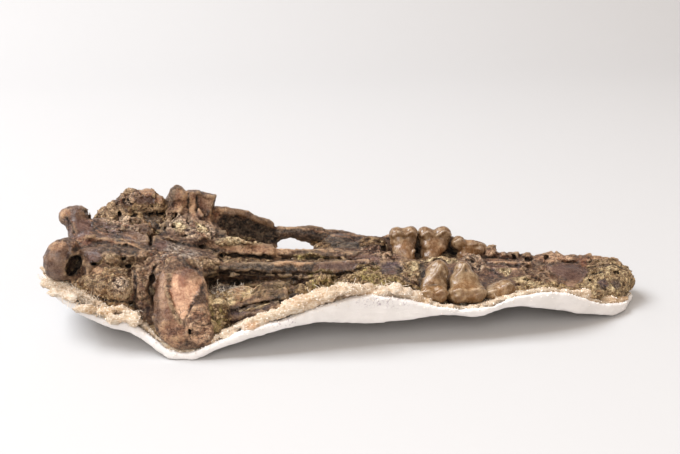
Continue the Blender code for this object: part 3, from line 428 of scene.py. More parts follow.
# Marks on what the photograph's camera sees: name, look, height above the rest in mm, outline in its pixels
MARKS = [
    ("right condyle", "polished brown", 0,
     [(59, 213), (64, 208), (77, 205), (90, 213), (88, 218), (74, 221), (62, 219)]),
    ("its worn edge", "worn and lit tan", 0.2, [(59, 213), (63, 209), (69, 209), (71, 213), (66, 217), (61, 217)]),
    ("its neck", "polished mauve", 0, [(69, 220), (90, 219), (92, 228), (88, 238), (76, 240), (67, 233)]),
    # Painted highlight: a paler streak along the neck's lit ridge.
    ("light streak on the neck", "worn and lit tan", 0.2, [(71, 222), (74, 222), (77, 235), (73, 234)]),
    ("left condyle", "polished brown", 0,
     [(44, 250), (46, 266), (52, 278), (63, 278), (65, 261), (71, 248), (58, 241)]),
    # Painted highlight on the condyle's top.
    ("its bright top", "worn and lit tan", 0.2, [(48, 246), (56, 242), (67, 245), (60, 250), (51, 251)]),
    ("left condylar fossa", "shadowed", 0,
     [(71, 255), (82, 256), (83, 262), (76, 275), (66, 276), (64, 268)]),
    ("stain between the condyles", "rusty", 0, [(73, 240), (92, 234), (93, 239), (86, 249), (73, 248)]),
    ("ledge beside the left condyle", "polished brown", 0, [(72, 250), (100, 243), (104, 248), (84, 256)]),
    ("trough of the base", "polished mauve", -0.8,
     [(94, 230), (102, 223), (116, 225), (121, 231), (119, 241), (96, 238)]),
    ("dark left side of the trough", "dark and shaded bone", -0.3, [(94, 232), (100, 221), (104, 224), (100, 238)]),
    ("dark plate of the base", "dark and shaded bone", -0.3,
     [(112, 236), (128, 234), (144, 242), (134, 245), (116, 241)]),
    # Painted highlight: the shine in the trough is a paler tint.
    ("shine in the trough", "polished tan", 0, [(96, 230), (101, 228), (109, 233), (109, 237), (101, 235)]),
    ("base's right edge", "polished red", 0.4,
     [(97, 224), (101, 219), (111, 219), (119, 225), (116, 229), (107, 224)]),
    ("second plate of the base", "polished brown", -0.5,
     [(122, 232), (133, 229), (146, 236), (149, 245), (122, 241)]),
    ("chipped rim of the base", "crushed grey", 0.4,
     [(104, 219), (122, 220), (137, 226), (143, 233), (118, 226)]),
    ("pink patch below the ledge", "polished mauve", 0,
     [(87, 252), (96, 250), (101, 254), (98, 261), (88, 261)]),
    ("side of the crest", "worn brown", 0, [(100, 247), (148, 248), (150, 254), (102, 255)]),
    ("sand over the left ear", "crumbly tan", 0.2,
     [(103, 254), (134, 256), (137, 268), (112, 270), (101, 264)]),
    ("orange crumb", "worn and lit tan", 0.4, [(91, 267), (98, 266), (105, 270), (102, 274), (93, 273)]),
    ("left ear's first lump", "crumbly tan", 0.3,
     [(72, 283), (85, 275), (100, 275), (107, 287), (93, 298), (78, 295)]),
    ("crust on that lump", "tan sand", 0.4, [(76, 284), (84, 283), (88, 290), (84, 297), (78, 293)]),
    ("left ear capsule", "crumbly tan", 0.2,
     [(106, 287), (114, 275), (126, 272), (135, 283), (133, 295), (124, 300), (110, 296)]),
    ("grey film on the capsule", "crushed grey", 0,
     [(112, 280), (122, 276), (128, 282), (122, 290), (113, 289)]),
    ("column beside the jaw joint", "crumbly brown", 0.4,
     [(136, 264), (148, 266), (147, 290), (152, 308), (137, 300)]),
    ("plates above the jaw joint", "crumbly brown", 0.3,
     [(138, 252), (152, 248), (176, 256), (163, 268), (148, 270)]),
    ("tan cluster over the right ear", "crumbly tan", 0.6,
     [(97, 205), (116, 199), (130, 208), (131, 220), (112, 221), (98, 216)]),
    ("bone on the right ear", "crushed brown", 0.2,
     [(106, 192), (118, 187), (141, 186), (142, 198), (131, 206), (112, 199)]),
    ("light top of the right ear", "crumbly tan", 0.3,
     [(122, 187), (137, 185), (140, 190), (128, 194), (120, 193)]),
    ("smooth tan patch", "worn and lit tan", 0.3, [(140, 188), (150, 187), (154, 192), (150, 197), (141, 195)]),
    ("red band", "polished red", 0, [(136, 197), (155, 197), (155, 204), (137, 203)]),
    ("orange knob", "worn and lit tan", 0, [(156, 194), (161, 193), (165, 198), (161, 204), (156, 202)]),
    ("pale crumbs", "crumbly tan", 0.4, [(132, 206), (146, 203), (160, 206), (152, 213), (134, 212)]),
    ("dark crumbs", "shadowed", -0.8, [(141, 213), (162, 212), (168, 219), (166, 232), (150, 226)]),
    ("pale fragments", "crushed grey", 0.5, [(118, 216), (137, 217), (143, 224), (131, 227), (119, 222)]),
    ("broken face", "worn and lit tan", 0,
     [(176, 189), (184, 188), (188, 194), (184, 207), (179, 211), (173, 205)]),
    ("dark edge of the broken face", "worn brown", 0.3,
     [(167, 194), (174, 186), (176, 190), (173, 207), (168, 205)]),
    ("mauve slab", "worn and lit tan", 0, [(188, 194), (196, 193), (196, 213), (190, 215), (186, 209)]),
    ("red slab", "polished tan", 0, [(198, 195), (210, 199), (210, 210), (200, 216), (197, 213)]),
    ("crushed plates", "crushed grey", 0.5,
     [(165, 214), (180, 214), (207, 225), (217, 231), (214, 239), (184, 238), (168, 228)]),
    ("pale chips", "pale sand", 0.4, [(172, 222), (180, 221), (187, 227), (180, 231), (173, 228)]),
    ("more pale chips", "pale sand", 0.3, [(196, 223), (206, 226), (208, 232), (198, 231)]),
    ("root of the cheek arch", "worn and lit tan", 0,
     [(207, 222), (211, 211), (218, 208), (228, 209), (219, 218), (213, 225)]),
    ("arch's top edge", "polished brown", 0.3,
     [(227, 208), (241, 209), (262, 221), (272, 226), (270, 230), (246, 219), (228, 213)]),
    ("inner plate of the arch", "shadowed", -0.8,
     [(220, 220), (236, 216), (281, 232), (277, 245), (241, 237), (218, 237)]),
    # Painted shade: the arch's bar is tinted dark for the shade it lies in.
    ("bar of the arch", "dark and shaded bone", 0,
     [(271, 226), (300, 227), (362, 238), (350, 241), (300, 233), (280, 232)]),
    ("bar's shaded side", "shadowed", 0,
     [(308, 237), (345, 240), (372, 244), (368, 250), (328, 247), (312, 242)]),
    ("crumbs beside the window", "brown sand", 0.5,
     [(307, 246), (312, 241), (330, 243), (333, 249), (316, 250)]),
    ("crust on the right ridge", "pale sand", 0.8,
     [(216, 241), (227, 237), (250, 237), (262, 244), (240, 245), (217, 245)]),
    ("right ridge", "worn and lit tan", 0.4,
     [(216, 246), (250, 245), (278, 247), (293, 251), (284, 256), (235, 252)]),
    ("thin end of the right ridge", "worn brown", 0.4,
     [(291, 249), (330, 248), (362, 253), (345, 256), (300, 254)]),
    ("groove between the ridges", "brown sand", -1.6,
     [(219, 252), (256, 256), (345, 257), (345, 261), (276, 261), (221, 261)]),
    ("yellow sand in the groove", "green sand", 0.4,
     [(293, 255), (310, 254), (327, 256), (318, 260), (299, 260)]),
    ("orange lump in the groove", "worn and lit tan", 1.0, [(271, 258), (277, 255), (282, 258), (277, 262)]),
    ("left ridge", "dark and shaded bone", 0.3,
     [(208, 266), (244, 261), (293, 261), (315, 262), (312, 271), (258, 271), (224, 269)]),
    ("pale rim of the left ridge", "worn and lit tan", 0.4,
     [(272, 262), (296, 260), (314, 262), (300, 265), (276, 265)]),
    ("smooth bar of the left ridge", "polished red", 0.6,
     [(316, 264), (330, 260), (347, 260), (364, 266), (343, 272), (318, 270)]),
    ("putty", "putty", 0.2, [(166, 244), (180, 244), (200, 254), (198, 261), (180, 256), (168, 251)]),
    ("crust beside the putty", "crumbly tan", 0.3,
     [(189, 257), (207, 257), (224, 262), (205, 268), (190, 264)]),
    ("triangular plate", "polished mauve", 0.3, [(153, 243), (165, 241), (168, 247), (160, 250)]),
    ("left temporal hollow", "shadowed", -1.0,
     [(207, 272), (276, 274), (306, 276), (300, 281), (262, 282), (222, 291), (208, 292)]),
    ("face of the left jaw joint", "polished pink", 0,
     [(170, 276), (176, 270), (187, 269), (202, 277), (204, 282), (195, 296), (187, 316), (182, 321),
      (174, 309), (170, 292)]),
    ("its upper rim", "polished tan", 0, [(172, 272), (186, 268), (203, 277), (196, 281), (182, 276)]),
    ("outer flank of the jaw joint", "polished tan", 0,
     [(163, 268), (168, 274), (168, 292), (173, 315), (164, 330), (154, 312), (154, 292)]),
    ("shaded strip of the flank", "polished brown", 0,
     [(156, 276), (161, 272), (159, 296), (163, 320), (158, 326), (152, 310)]),
    ("speckled foot of the jaw joint", "worn and lit tan", 0,
     [(158, 326), (172, 318), (184, 326), (186, 343), (172, 350), (162, 342)]),
    ("broken face of the jaw joint", "broken bone", 0.3,
     [(190, 309), (203, 304), (210, 310), (212, 334), (198, 345), (186, 338), (186, 321)]),
    ("sand beside the jaw joint", "green sand", 0.4,
     [(210, 305), (222, 304), (228, 314), (224, 330), (215, 335), (211, 320)]),
    ("first pad", "cream pad", 0.5, [(208, 297), (220, 293), (238, 301), (231, 306), (210, 304)]),
    ("second pad", "cream pad", 0.6,
     [(226, 290), (244, 284), (262, 286), (252, 296), (244, 302), (232, 299)]),
    ("third pad", "grey pad", 0.4,
     [(254, 291), (270, 276), (288, 277), (300, 287), (278, 295), (256, 301)]),
    ("shade below the pads", "shadowed", 0, [(271, 296), (299, 293), (302, 298), (290, 304), (275, 304)]),
    ("upper strip of bone", "worn brown", 0.3,
     [(231, 305), (252, 303), (275, 296), (276, 300), (250, 309), (234, 310)]),
    ("lower strip of bone", "worn purple", 0.3,
     [(227, 314), (259, 307), (272, 304), (262, 316), (234, 320)]),
    ("pillar", "green sand", 0.3, [(308, 272), (332, 270), (337, 278), (333, 294), (309, 295)]),
    ("pale end of the left ridge", "polished mauve", 0.3, [(348, 257), (376, 254), (382, 261), (362, 261)]),
    ("sand behind the ridges", "green sand", 0.5,
     [(358, 265), (377, 263), (381, 271), (372, 280), (358, 278)]),
    ("red fragment", "polished red", 0.5, [(381, 270), (393, 266), (404, 269), (398, 275), (385, 276)]),
    ("sand beside the molars", "crumbly tan", 0.4,
     [(401, 263), (424, 265), (424, 287), (410, 286), (400, 276)]),
    ("green sand", "green sand", 0.5, [(361, 278), (386, 276), (400, 282), (390, 291), (366, 290)]),
    ("back of the palate", "crushed brown", 0.2,
     [(357, 249), (382, 246), (400, 257), (398, 263), (368, 254)]),
    ("dark crumbs on the arch", "brown sand", 0.5,
     [(358, 241), (370, 235), (382, 237), (386, 244), (360, 247)]),
    ("palate between the molars", "crushed brown", 0.3,
     [(418, 244), (446, 246), (452, 256), (436, 263), (422, 258)]),
    ("pale crumbs of the palate", "pale sand", 0.4, [(434, 259), (448, 254), (462, 262), (448, 263)]),
    ("plates of the palate", "crushed grey", 0.3,
     [(461, 254), (472, 250), (486, 262), (480, 271), (466, 266)]),
    ("pink plate of the palate", "polished mauve", 0.2,
     [(483, 257), (503, 254), (523, 264), (508, 277), (490, 276)]),
    ("light ridge on it", "polished tan", 0.4, [(498, 269), (512, 267), (518, 270), (506, 274)]),
    ("yellow sand by the rim", "tan sand", 0.5,
     [(510, 279), (526, 276), (553, 285), (560, 292), (540, 292), (522, 284)]),
    ("bone behind the canine", "crumbly brown", 0.3,
     [(520, 262), (545, 264), (560, 278), (546, 284), (526, 278)]),
    ("tan crumbs behind the left molars", "tan sand", 0.6,
     [(404, 264), (420, 258), (428, 262), (418, 276), (405, 274)]),
    ("pale crumbs between the molars", "pale sand", 0.6,
     [(424, 262), (436, 253), (452, 255), (458, 262), (444, 262)]),
    ("dark gap behind the left molars", "shadowed", -0.8, [(419, 264), (424, 262), (425, 282), (419, 286)]),
    ("purple bone before the ridges", "worn purple", 0.3, [(374, 262), (398, 262), (404, 268), (384, 272)]),
    ("dark chips of the palate", "shadowed", -0.6, [(396, 268), (402, 267), (404, 273), (397, 275)]),
    ("striped plate of the palate", "polished tan", 0.3, [(486, 258), (512, 259), (522, 262), (498, 264)]),
    ("sand by the left carnassial", "pale sand", 0.3, [(496, 270), (506, 268), (512, 272), (506, 277)]),
    ("bone before the smooth patch", "crumbly brown", 0.3,
     [(530, 268), (546, 270), (558, 282), (540, 280)]),
    ("yellow crust of the snout", "green sand", 0.5,
     [(596, 284), (612, 290), (622, 288), (616, 298), (598, 297)]),
    ("dark gap of the snout", "shadowed", -1.0, [(592, 292), (604, 294), (612, 298), (600, 299)]),
    ("pale end of the snout", "pale sand", 0.3, [(586, 281), (594, 279), (598, 283), (590, 287)]),
    ("shade between the right molars", "shadowed", -1, [(415, 236), (421, 234), (422, 258), (417, 260)]),
    ("shade beside the right carnassial", "shadowed", -1,
     [(444, 244), (453, 242), (461, 248), (460, 256), (450, 257)]),
    ("first empty socket", "broken bone", 0.3,
     [(486, 253), (491, 247), (503, 254), (500, 258), (487, 257)]),
    ("second empty socket", "crushed brown", 0.3, [(521, 261), (527, 254), (534, 259), (530, 264)]),
    ("canine's socket", "broken bone", 0.3, [(535, 259), (552, 252), (571, 258), (566, 263), (545, 263)]),
    ("smooth dark patch", "polished red", 0.4,
     [(545, 267), (562, 263), (582, 263), (589, 272), (577, 283), (562, 279)]),
    ("pinkish foot of the patch", "polished tan", 0, [(564, 282), (577, 281), (575, 288), (566, 287)]),
    ("reddish knob", "rusty", 0.3, [(577, 261), (587, 254), (591, 260), (586, 267), (578, 266)]),
    ("end of the palate", "crumbly tan", 0.3, [(588, 260), (605, 259), (612, 263), (600, 268), (589, 267)]),
    ("sand round the snout", "tan sand", 0.4,
     [(580, 288), (586, 277), (612, 264), (626, 268), (638, 277), (634, 290), (612, 302), (588, 298)]),
    ("purple bone in the sand", "worn purple", 0.4, [(597, 281), (606, 278), (610, 285), (601, 290)]),
    ("brown bone in the sand", "worn brown", 0.4, [(611, 281), (620, 279), (622, 286), (615, 290)]),
]
# Cracks, sharp edges, painted shadow lines and painted highlights on lit edges in the same pixels: name,
# depth in mm (raised if negative), half width, look, path
CRACKS = [
    ("slot in the right condyle", 1.8, 1.2, "shadowed", [(83, 211), (87, 211), (89, 217)]),
    ("notch between the condyles", 1.2, 1.1, "shadowed", [(67, 232), (65, 236), (60, 239)]),
    ("line down the neck", 0.8, 0.8, "shadowed", [(66, 217), (73, 226), (75, 233)]),
    ("crest of the base", -0.8, 0.9, "worn and lit tan", [(92, 239), (109, 241), (134, 245)]),
    ("line below the crest", 0.8, 0.6, "shadowed", [(96, 243), (110, 245), (148, 249)]),
    ("first fan line of the base", -0.4, 0.5, "worn and lit tan", [(88, 219), (96, 226), (104, 229)]),
    ("second fan line", -0.4, 0.5, "worn and lit tan", [(97, 231), (118, 234), (136, 238)]),
    ("third fan line", -0.4, 0.6, "crushed grey", [(104, 229), (118, 229), (130, 226)]),
    ("fourth fan line", -0.4, 0.5, "worn and lit tan", [(112, 244), (126, 244), (142, 247)]),
    ("fifth fan line", -0.4, 0.5, "worn and lit tan", [(122, 240), (132, 245), (143, 250)]),
    ("sixth fan line", -0.4, 0.6, "worn and lit tan", [(72, 243), (84, 240), (95, 236)]),
    ("first furrow of the base", 0.6, 0.5, "shadowed", [(92, 224), (104, 232), (121, 233)]),
    ("second furrow", 0.6, 0.5, "shadowed", [(108, 222), (118, 226), (133, 229)]),
    ("third furrow", 0.6, 0.5, "shadowed", [(104, 250), (122, 251), (136, 255)]),
    ("edge of the ledge", 1.0, 0.9, "shadowed", [(73, 250), (84, 247), (96, 246)]),
    ("furrow across the base", 1.3, 1.2, "shadowed",
     [(150, 227), (158, 232), (165, 240), (184, 244), (219, 251)]),
    ("crack beside the putty", 0.8, 0.7, "shadowed", [(140, 247), (152, 252), (162, 259)]),
    ("first white line", -0.4, 0.7, "putty", [(156, 262), (166, 254), (178, 250)]),
    ("second white line", -0.4, 0.7, "putty", [(166, 250), (182, 254), (198, 260)]),
    ("seam below the putty", 1.3, 1.0, "shadowed", [(180, 260), (187, 264), (196, 269)]),
    ("crack between the slabs", 2.0, 0.8, "shadowed", [(197, 196), (197, 213)]),
    ("edge of the mauve slab", 1.0, 0.8, "shadowed", [(188, 194), (187, 202), (189, 216)]),
    ("shadow before the arch", 1.4, 1.2, "shadowed", [(213, 222), (217, 229), (216, 237)]),
    # Painted highlights: paler lines along the lit edges of the arch and the right ridge.
    ("lit edge of the arch", -0.4, 0.7, "worn and lit tan", [(272, 227), (300, 228), (352, 238)]),
    ("lit edge of the right ridge", -0.6, 0.8, "worn and lit tan",
     [(262, 246), (292, 250), (304, 248), (352, 253)]),
    ("shadow below the left ridge", 2.0, 1.4, "shadowed", [(206, 271), (256, 272), (306, 274), (352, 273)]),
    ("crust left of the joint's face", -0.5, 2.0, "crumbly tan",
     [(168, 274), (167, 288), (174, 315), (181, 323)]),
    ("lip right of the joint's face", -0.7, 1.2, "worn and lit tan", [(203, 275), (207, 285), (207, 304)]),
    ("groove beside that lip", 0.6, 0.8, "worn brown", [(203, 282), (202, 292), (198, 302)]),
    ("edge of the broken face", 0.9, 0.9, "worn brown", [(192, 305), (187, 316), (185, 326)]),
    ("fold in the broken face", 0.8, 0.8, "worn brown", [(193, 321), (202, 326), (210, 324)]),
    ("gap behind the jaw joint", 2.2, 1.8, "shadowed", [(155, 268), (150, 281), (151, 294)]),
    ("gap behind the column", 2.0, 1.5, "shadowed", [(134, 268), (136, 284), (134, 300)]),
    ("seam below the left ear", 1.5, 1.1, "shadowed", [(94, 296), (110, 301), (128, 302), (140, 309)]),
    # Painted highlight along the lit edge of the lower strip.
    ("lit edge of the lower strip", -0.5, 0.7, "pale sand", [(240, 311), (256, 308), (270, 303)]),
    ("shade between the strips", 1.5, 1.0, "shadowed", [(228, 311), (250, 307), (277, 299)]),
    ("edge of the palate's sand", 1.2, 1.0, "shadowed", [(356, 271), (366, 265), (382, 263)]),
    ("seam before the molars", 1.4, 1.0, "shadowed", [(400, 276), (410, 281), (421, 288)]),
    ("upper groove of the palate", 1.1, 0.8, "shadowed", [(482, 257), (500, 258), (518, 261)]),
    ("lower groove of the palate", 1.1, 0.8, "shadowed", [(486, 263), (502, 264), (523, 266)]),
    ("fold of the palate", 1.0, 0.8, "shadowed", [(486, 268), (494, 272), (501, 278)]),
    ("fold before the snout's end", 1.1, 0.9, "shadowed", [(588, 268), (612, 264), (622, 268)]),
    ("second fold there", 1.2, 0.9, "shadowed", [(586, 276), (604, 271)]),
    ("edge of the dark patch", 1.0, 0.8, "shadowed", [(534, 265), (560, 262)]),
]
# Holes in the same pixels: name, depth in mm along the line of sight, outline
HOLES = [
    ("left condylar fossa", 8,
     [(70, 257), (77, 255), (82, 258), (82, 265), (75, 274), (68, 277), (65, 269)]),
    ("small hole over the ear", 6, [(90, 263), (96, 262), (97, 265), (92, 266)]),
    ("first pit", 5, [(121, 257), (127, 257), (126, 260), (122, 260)]),
    ("second pit", 5, [(123, 265), (132, 264), (131, 268), (125, 269)]),
    ("slit before the triangular plate", 10, [(150, 234), (153, 235), (152, 246), (149, 246)]),
    ("hole behind the jaw joint", 8, [(149, 276), (154, 273), (156, 281), (151, 285)]),
    ("hole below the column", 8, [(129, 301), (136, 302), (134, 308), (130, 306)]),
    ("upper hole of the right ear", 7, [(157, 213), (165, 212), (167, 220), (161, 224)]),
    ("middle hole of the right ear", 6, [(148, 213), (154, 212), (156, 217), (150, 218)]),
    ("left hole of the right ear", 5, [(117, 212), (121, 211), (122, 216), (118, 216)]),
    ("gap at the foot of the slab", 6, [(171, 212), (178, 213), (176, 218), (171, 217)]),
    ("opening of the palate", 8, [(380, 246), (386, 246), (386, 251), (381, 251)]),
    ("first socket's hole", 7, [(495, 251), (500, 251), (502, 256), (497, 256)]),
    ("next socket's hole", 6, [(511, 254), (515, 254), (517, 260), (513, 260)]),
    ("second socket's hole", 6, [(524, 257), (529, 257), (530, 262), (525, 262)]),
    ("canine socket's hole", 6, [(544, 255), (549, 255), (549, 260), (544, 260)]),
    ("hollow below the plates", 4, [(470, 259), (474, 258), (475, 262), (471, 263)]),
    ("void over the rim", 9, [(514, 285), (528, 286), (538, 289), (524, 291), (516, 290)]),
    ("snout's hole", 7, [(611, 271), (619, 271), (620, 275), (613, 275)]),
    ("small hole of the snout", 5, [(588, 279), (592, 279), (592, 282), (588, 282)]),
    ("pit in the broken face", 4, [(188, 328), (191, 329), (191, 335), (188, 334)]),
]

# Tints under the marks and of the sides that the photograph doesn't show: tint, strength, spots.
# A spot is (centre), (radii).
BONE_TINT = "745b4b"
BONE_PATCHES = [
    ("705546", 0.8, [((-180, -24, 50), (14, 14, 16)), ((-176, 24, 64), (14, 14, 12))]),
    ("58463a", 0.6, [((-146, 0, 52), (28, 24, 8))]),
    ("5e4c42", 0.6, [((-84, 57, 48), (14, 9, 12)), ((-30, 66, 36), (60, 7, 8))]),
    ("b09484", 0.6, [((-98, 30, 54), (20, 14, 10))]),
    ("665043", 0.6, [((-50, 12, 42), (34, 6, 5))]),
    ("8a6e5e", 0.5, [((70, 10, 26), (70, 34, 10))]),
    ("b08c6c", 0.5, [((186, 6, 18), (22, 14, 12))]),
]
SAND_TINT = "8a7252"
EAR_TINT = "a5866a"
SAND_PATCHES = [
    ("b89675", 0.7, [((-150, -38, 34), (26, 16, 16))]),
    ("b8987a", 0.7, [((-140, 40, 60), (30, 22, 20))]),
    ("a08c5c", 0.6, [((20, -34, 28), (40, 18, 12)), ((-16, -34, 28), (12, 12, 14))]),
    ("b89868", 0.7, [((130, -26, 18), (40, 14, 8)), ((192, -6, 13), (26, 20, 13))]),
    ("c4ac88", 0.7, [((-76, -38, 28), (14, 10, 9))]),
]
# Spots of sand that clings to the bone
CLINGING_SAND = [
    ((-60, 0, 38), (44, 8, 6)), ((-10, 2, 33), (36, 9, 6)), ((4, 20, 30), (24, 8, 6)),
    ((20, -20, 30), (30, 10, 8)), ((-86, -22, 40), (16, 8, 8)), ((-145, -26, 46), (18, 8, 6)),
    ((190, -2, 16), (24, 16, 10)),
]
# Spots with tufts of burlap, on the pads in the left temporal hollow
PADS = [((-82, -38, 27), (8, 7, 7)), ((-70, -39, 28), (9, 7, 6))]
LINING_TINT = "dccfbc"
LINING_PATCHES = [
    ("eae2d6", 0.8,
     [((30, -58, 33), (14, 8, 6)), ((-176, -38, 30), (18, 12, 8)), ((-66, -68, 17), (12, 6, 5))]),
    ("dcc8b0", 0.8, [((-14, -62, 34), (36, 7, 9)), ((150, -40, 20), (14, 7, 5))]),
    ("d6a474", 0.8, [((-60, -66, 20), (5, 5, 4))]),
    ("d3b48c", 0.6,
     [((186, -26, 8), (14, 7, 5)), ((45, -58, 28), (6, 6, 5)), ((-150, -50, 27), (12, 5, 3))]),
]
SMUDGED_LIP = [((26, -64, 31), (24, 5, 5)), ((-46, -70, 22), (14, 4, 3))]
FRAYED_LEDGE = [((28, -58, 33), (18, 8, 6)), ((-6, -61, 40), (22, 7, 4))]

# What is strewn: name, per square metre, smallest and largest in millimetres, seed
BED_CRUMBS = ("bed_crumbs", 120000, 0.8, 2.6, 3)
EAR_CRUMBS = ("ear_crumbs", 110000, 0.8, 2.2, 4)
LINING_CRUMBS = ("lining_crumbs", 260000, 0.4, 1.6, 5)
RIM_CRUMBS = ("rim_crumbs", 200000, 0.4, 1.9, 7)
PAD_FIBRES = ("pad_fibres", 420000, 1.6, 4.2, 8)
LINING_FIBRES = ("lining_fibres", 300000, 2.0, 6.0, 6)
CRUMB_SHAPE = (1.0, 0.75, 0.6)
FIBRE_CURL = {"Start": (0, 0, -0.1), "Middle": (0.35, 0.1, 0.5), "End": (0.05, -0.2, 0.95)}
FIBRE_RADIUS = 0.028  # on a fibre one unit long
FIBRE_LEAN = (1.35, 1.35, 3.1)
ANY_WAY = (6.28, 6.28, 6.28)

# The studio, in metres: softboxes as place, aim, size, watts, colour
OVERHEAD_SOFTBOX = ((-1.6, 0.2, 2.3), (0, 0.2, 0), (1.7, 1.4), 108, (0.945, 0.985, 1.03))
FRONT_SOFTBOX = ((-0.3, -1.4, 0.9), (0, 0, 0.05), (0.8, 0.8), 11, (1.0, 0.985, 0.96))
AIR_TINT = (1.0, 0.86, 0.74, 1)
AIR_STRENGTH = 0.78
PAPER_TINT = (0.5, 0.498, 0.502, 1)
PAPER_SIDE = 6.0
PAPER_BEND = 0.9  # where the paper starts to curve up behind the object, and the curve's radius
PAPER_TOP = 2.4


def smooth_min(a, b, blend):
    """The nearer of two distances, rounded off where they are within blend of each other."""
    share = np.clip(0.5 + 0.5 * (b - a) / blend, 0, 1)
    return b + (a - b) * share - blend * share * (1 - share)


def smooth_step(low, high, value):
    t = np.clip((value - low) / (high - low), 0, 1)
    return t * t * (3 - 2 * t)


def spin_of(turn):
    return np.array(Euler([math.radians(a) for a in turn]).to_matrix())


def turned_offsets(spin, centre, x, y, z):
    """Coordinates along a turned form's own axes."""
    offsets = (x - centre[0], y - centre[1], z - centre[2])
    return [sum(spin[a, k] * offsets[a] for a in range(3) if abs(spin[a, k]) > 1e-9) for k in range(3)]


def oval_distance(offsets, radii):
    near = sum((offset / radius) ** 2 for offset, radius in zip(offsets, radii))
    slope = sum((offset / radius**2) ** 2 for offset, radius in zip(offsets, radii))
    near = np.sqrt(near)
    return near * (near - 1) / np.maximum(np.sqrt(slope), 1e-4)


def parts_of(form):
    """A ball's or slab's centre, half sizes and turn."""
    row = np.array([*form, 0, 0, 0][:9], float)
    return row[:3], row[3:6], spin_of(row[6:])


def ball(form):
    """An oval: its box's corners and its distance."""
    centre, radii, spin = parts_of(form)
    reach = np.sqrt(spin**2 @ radii**2)

    def distance(x, y, z):
        return oval_distance(turned_offsets(spin, centre, x, y, z), radii)

    return centre - reach, centre + reach, distance


def slab(form, rounding=0.5):
    """A flat block with slightly rounded edges."""
    centre, half, spin = parts_of(form)
    reach = np.abs(spin) @ half

    def distance(x, y, z):
        sides = [
            np.abs(offset) - (size - rounding)
            for offset, size in zip(turned_offsets(spin, centre, x, y, z), half)
        ]
        outside = np.sqrt(sum(np.maximum(side, 0) ** 2 for side in sides))
        inside = np.minimum(np.maximum(np.maximum(sides[0], sides[1]), sides[2]), 0)
        return outside + inside - rounding

    return centre - reach, centre + reach, distance


def bar(run):
    """Ovals strung along a run of (x, y, z, radius along X, along Y, along Z)."""
    run = np.array(run, float)

    def distance(x, y, z):
        nearest = None
        for start, end in zip(run, run[1:]):
            axis = end[:3] - start[:3]
            along = (x - start[0]) * axis[0] + (y - start[1]) * axis[1] + (z - start[2]) * axis[2]
            t = np.clip(along / (axis @ axis), 0, 1)
            offsets = [place - (start[k] + axis[k] * t) for k, place in enumerate((x, y, z))]
            radii = [start[k + 3] + (end[k + 3] - start[k + 3]) * t for k in range(3)]
            far = oval_distance(offsets, radii)
            nearest = far if nearest is None else np.minimum(nearest, far)
        return nearest

    return (run[:, :3] - run[:, 3:]).min(0), (run[:, :3] + run[:, 3:]).max(0), distance


def beam(run, shoulder=3.5):
    """A bar along X with square shoulders, through (x, y, z, half width, half height)."""
    run = np.array(run, float)
    reach = np.array([2.0, 0, 0])

    def distance(x, y, z):
        mid_y, mid_z, half_y, half_z = [np.interp(x, run[:, 0], run[:, k]) for k in range(1, 5)]
        across = np.abs(y - mid_y) / half_y
        upward = np.abs(z - mid_z) / half_z
        near = (across**shoulder + upward**shoulder) ** (1 / shoulder) + 1e-6
        slope = near ** (1 - shoulder) * np.hypot(
            across ** (shoulder - 1) / half_y, upward ** (shoulder - 1) / half_z
        )
        side = (near - 1) / np.maximum(slope, 1 / 40)
        ends = np.maximum(run[0, 0] - 2 - x, x - run[-1, 0] - 2)
        return -smooth_min(-side, -ends, BONE_BLEND)

    half = np.stack([np.zeros(len(run)), run[:, 3], run[:, 4]], 1)
    return (run[:, :3] - half).min(0) - reach, (run[:, :3] + half).max(0) + reach, distance


class Grain:
    """Seeded noise in space. Sizes are in millimetres."""

    PERIOD = 32
    TILT = np.array(Euler((0.7, 0.4, 1.1)).to_matrix(), np.float32)

    def __init__(self, seed):
        shape = (self.PERIOD,) * 3 + (4,)
        self.table = np.random.default_rng(seed).random(shape, dtype=np.float32)

    def look_up(self, corner):
        wrapped = corner & (self.PERIOD - 1)
        return self.table[wrapped[:, 0], wrapped[:, 1], wrapped[:, 2]]

    def cloud(self, points, size):
        """Soft lumps, from -1 to 1."""
        places = (points / size).astype(np.float32)
        corner = np.floor(places).astype(np.int32)
        part = places - corner
        part = part * part * (3 - 2 * part)
        total = np.zeros(len(points), np.float32)
        for step in np.ndindex(2, 2, 2):
            weight = np.prod(np.where(np.array(step), part, 1 - part), axis=1)
            total += weight * self.look_up(corner + np.array(step, np.int32))[:, 3]
        return 2 * total - 1

    def layers(self, points, size, count=4, fall=0.55):
        """Lumps on lumps, each layer half the size of the last."""
        total, weight = 0.0, 1.0
        for _ in range(count):
            total = total + weight * self.cloud(points, size)
            points = points @ self.TILT + 7.3
            size, weight = size * 0.5, weight * fall
        return total

    def wandered(self, points, size):
        """The points, moved by soft noise of the given size."""
        shifts = (0, 31, 57)
        return points + 2.0 * np.stack([self.cloud(points + shift, size) for shift in shifts], 1)

    def pebbles(self, points, size):
        """Distance to the nearest pebble's middle, the gap to the next one, and a random shade for each."""
        places = (points / size).astype(np.float32)
        corner = np.floor(places).astype(np.int32)
        first = np.full(len(points), 9, np.float32)
        second = first.copy()
        shade = np.zeros(len(points), np.float32)
        for step in np.ndindex(3, 3, 3):
            cell = corner + np.array(step, np.int32) - 1
            drawn = self.look_up(cell)
            far = np.sqrt(((cell + drawn[:, :3] - places) ** 2).sum(1))
            nearer = far < first
            second = np.where(nearer, first, np.minimum(second, far))
            shade = np.where(nearer, drawn[:, 3], shade)
            first = np.where(nearer, far, first)
        return first, second - first, shade


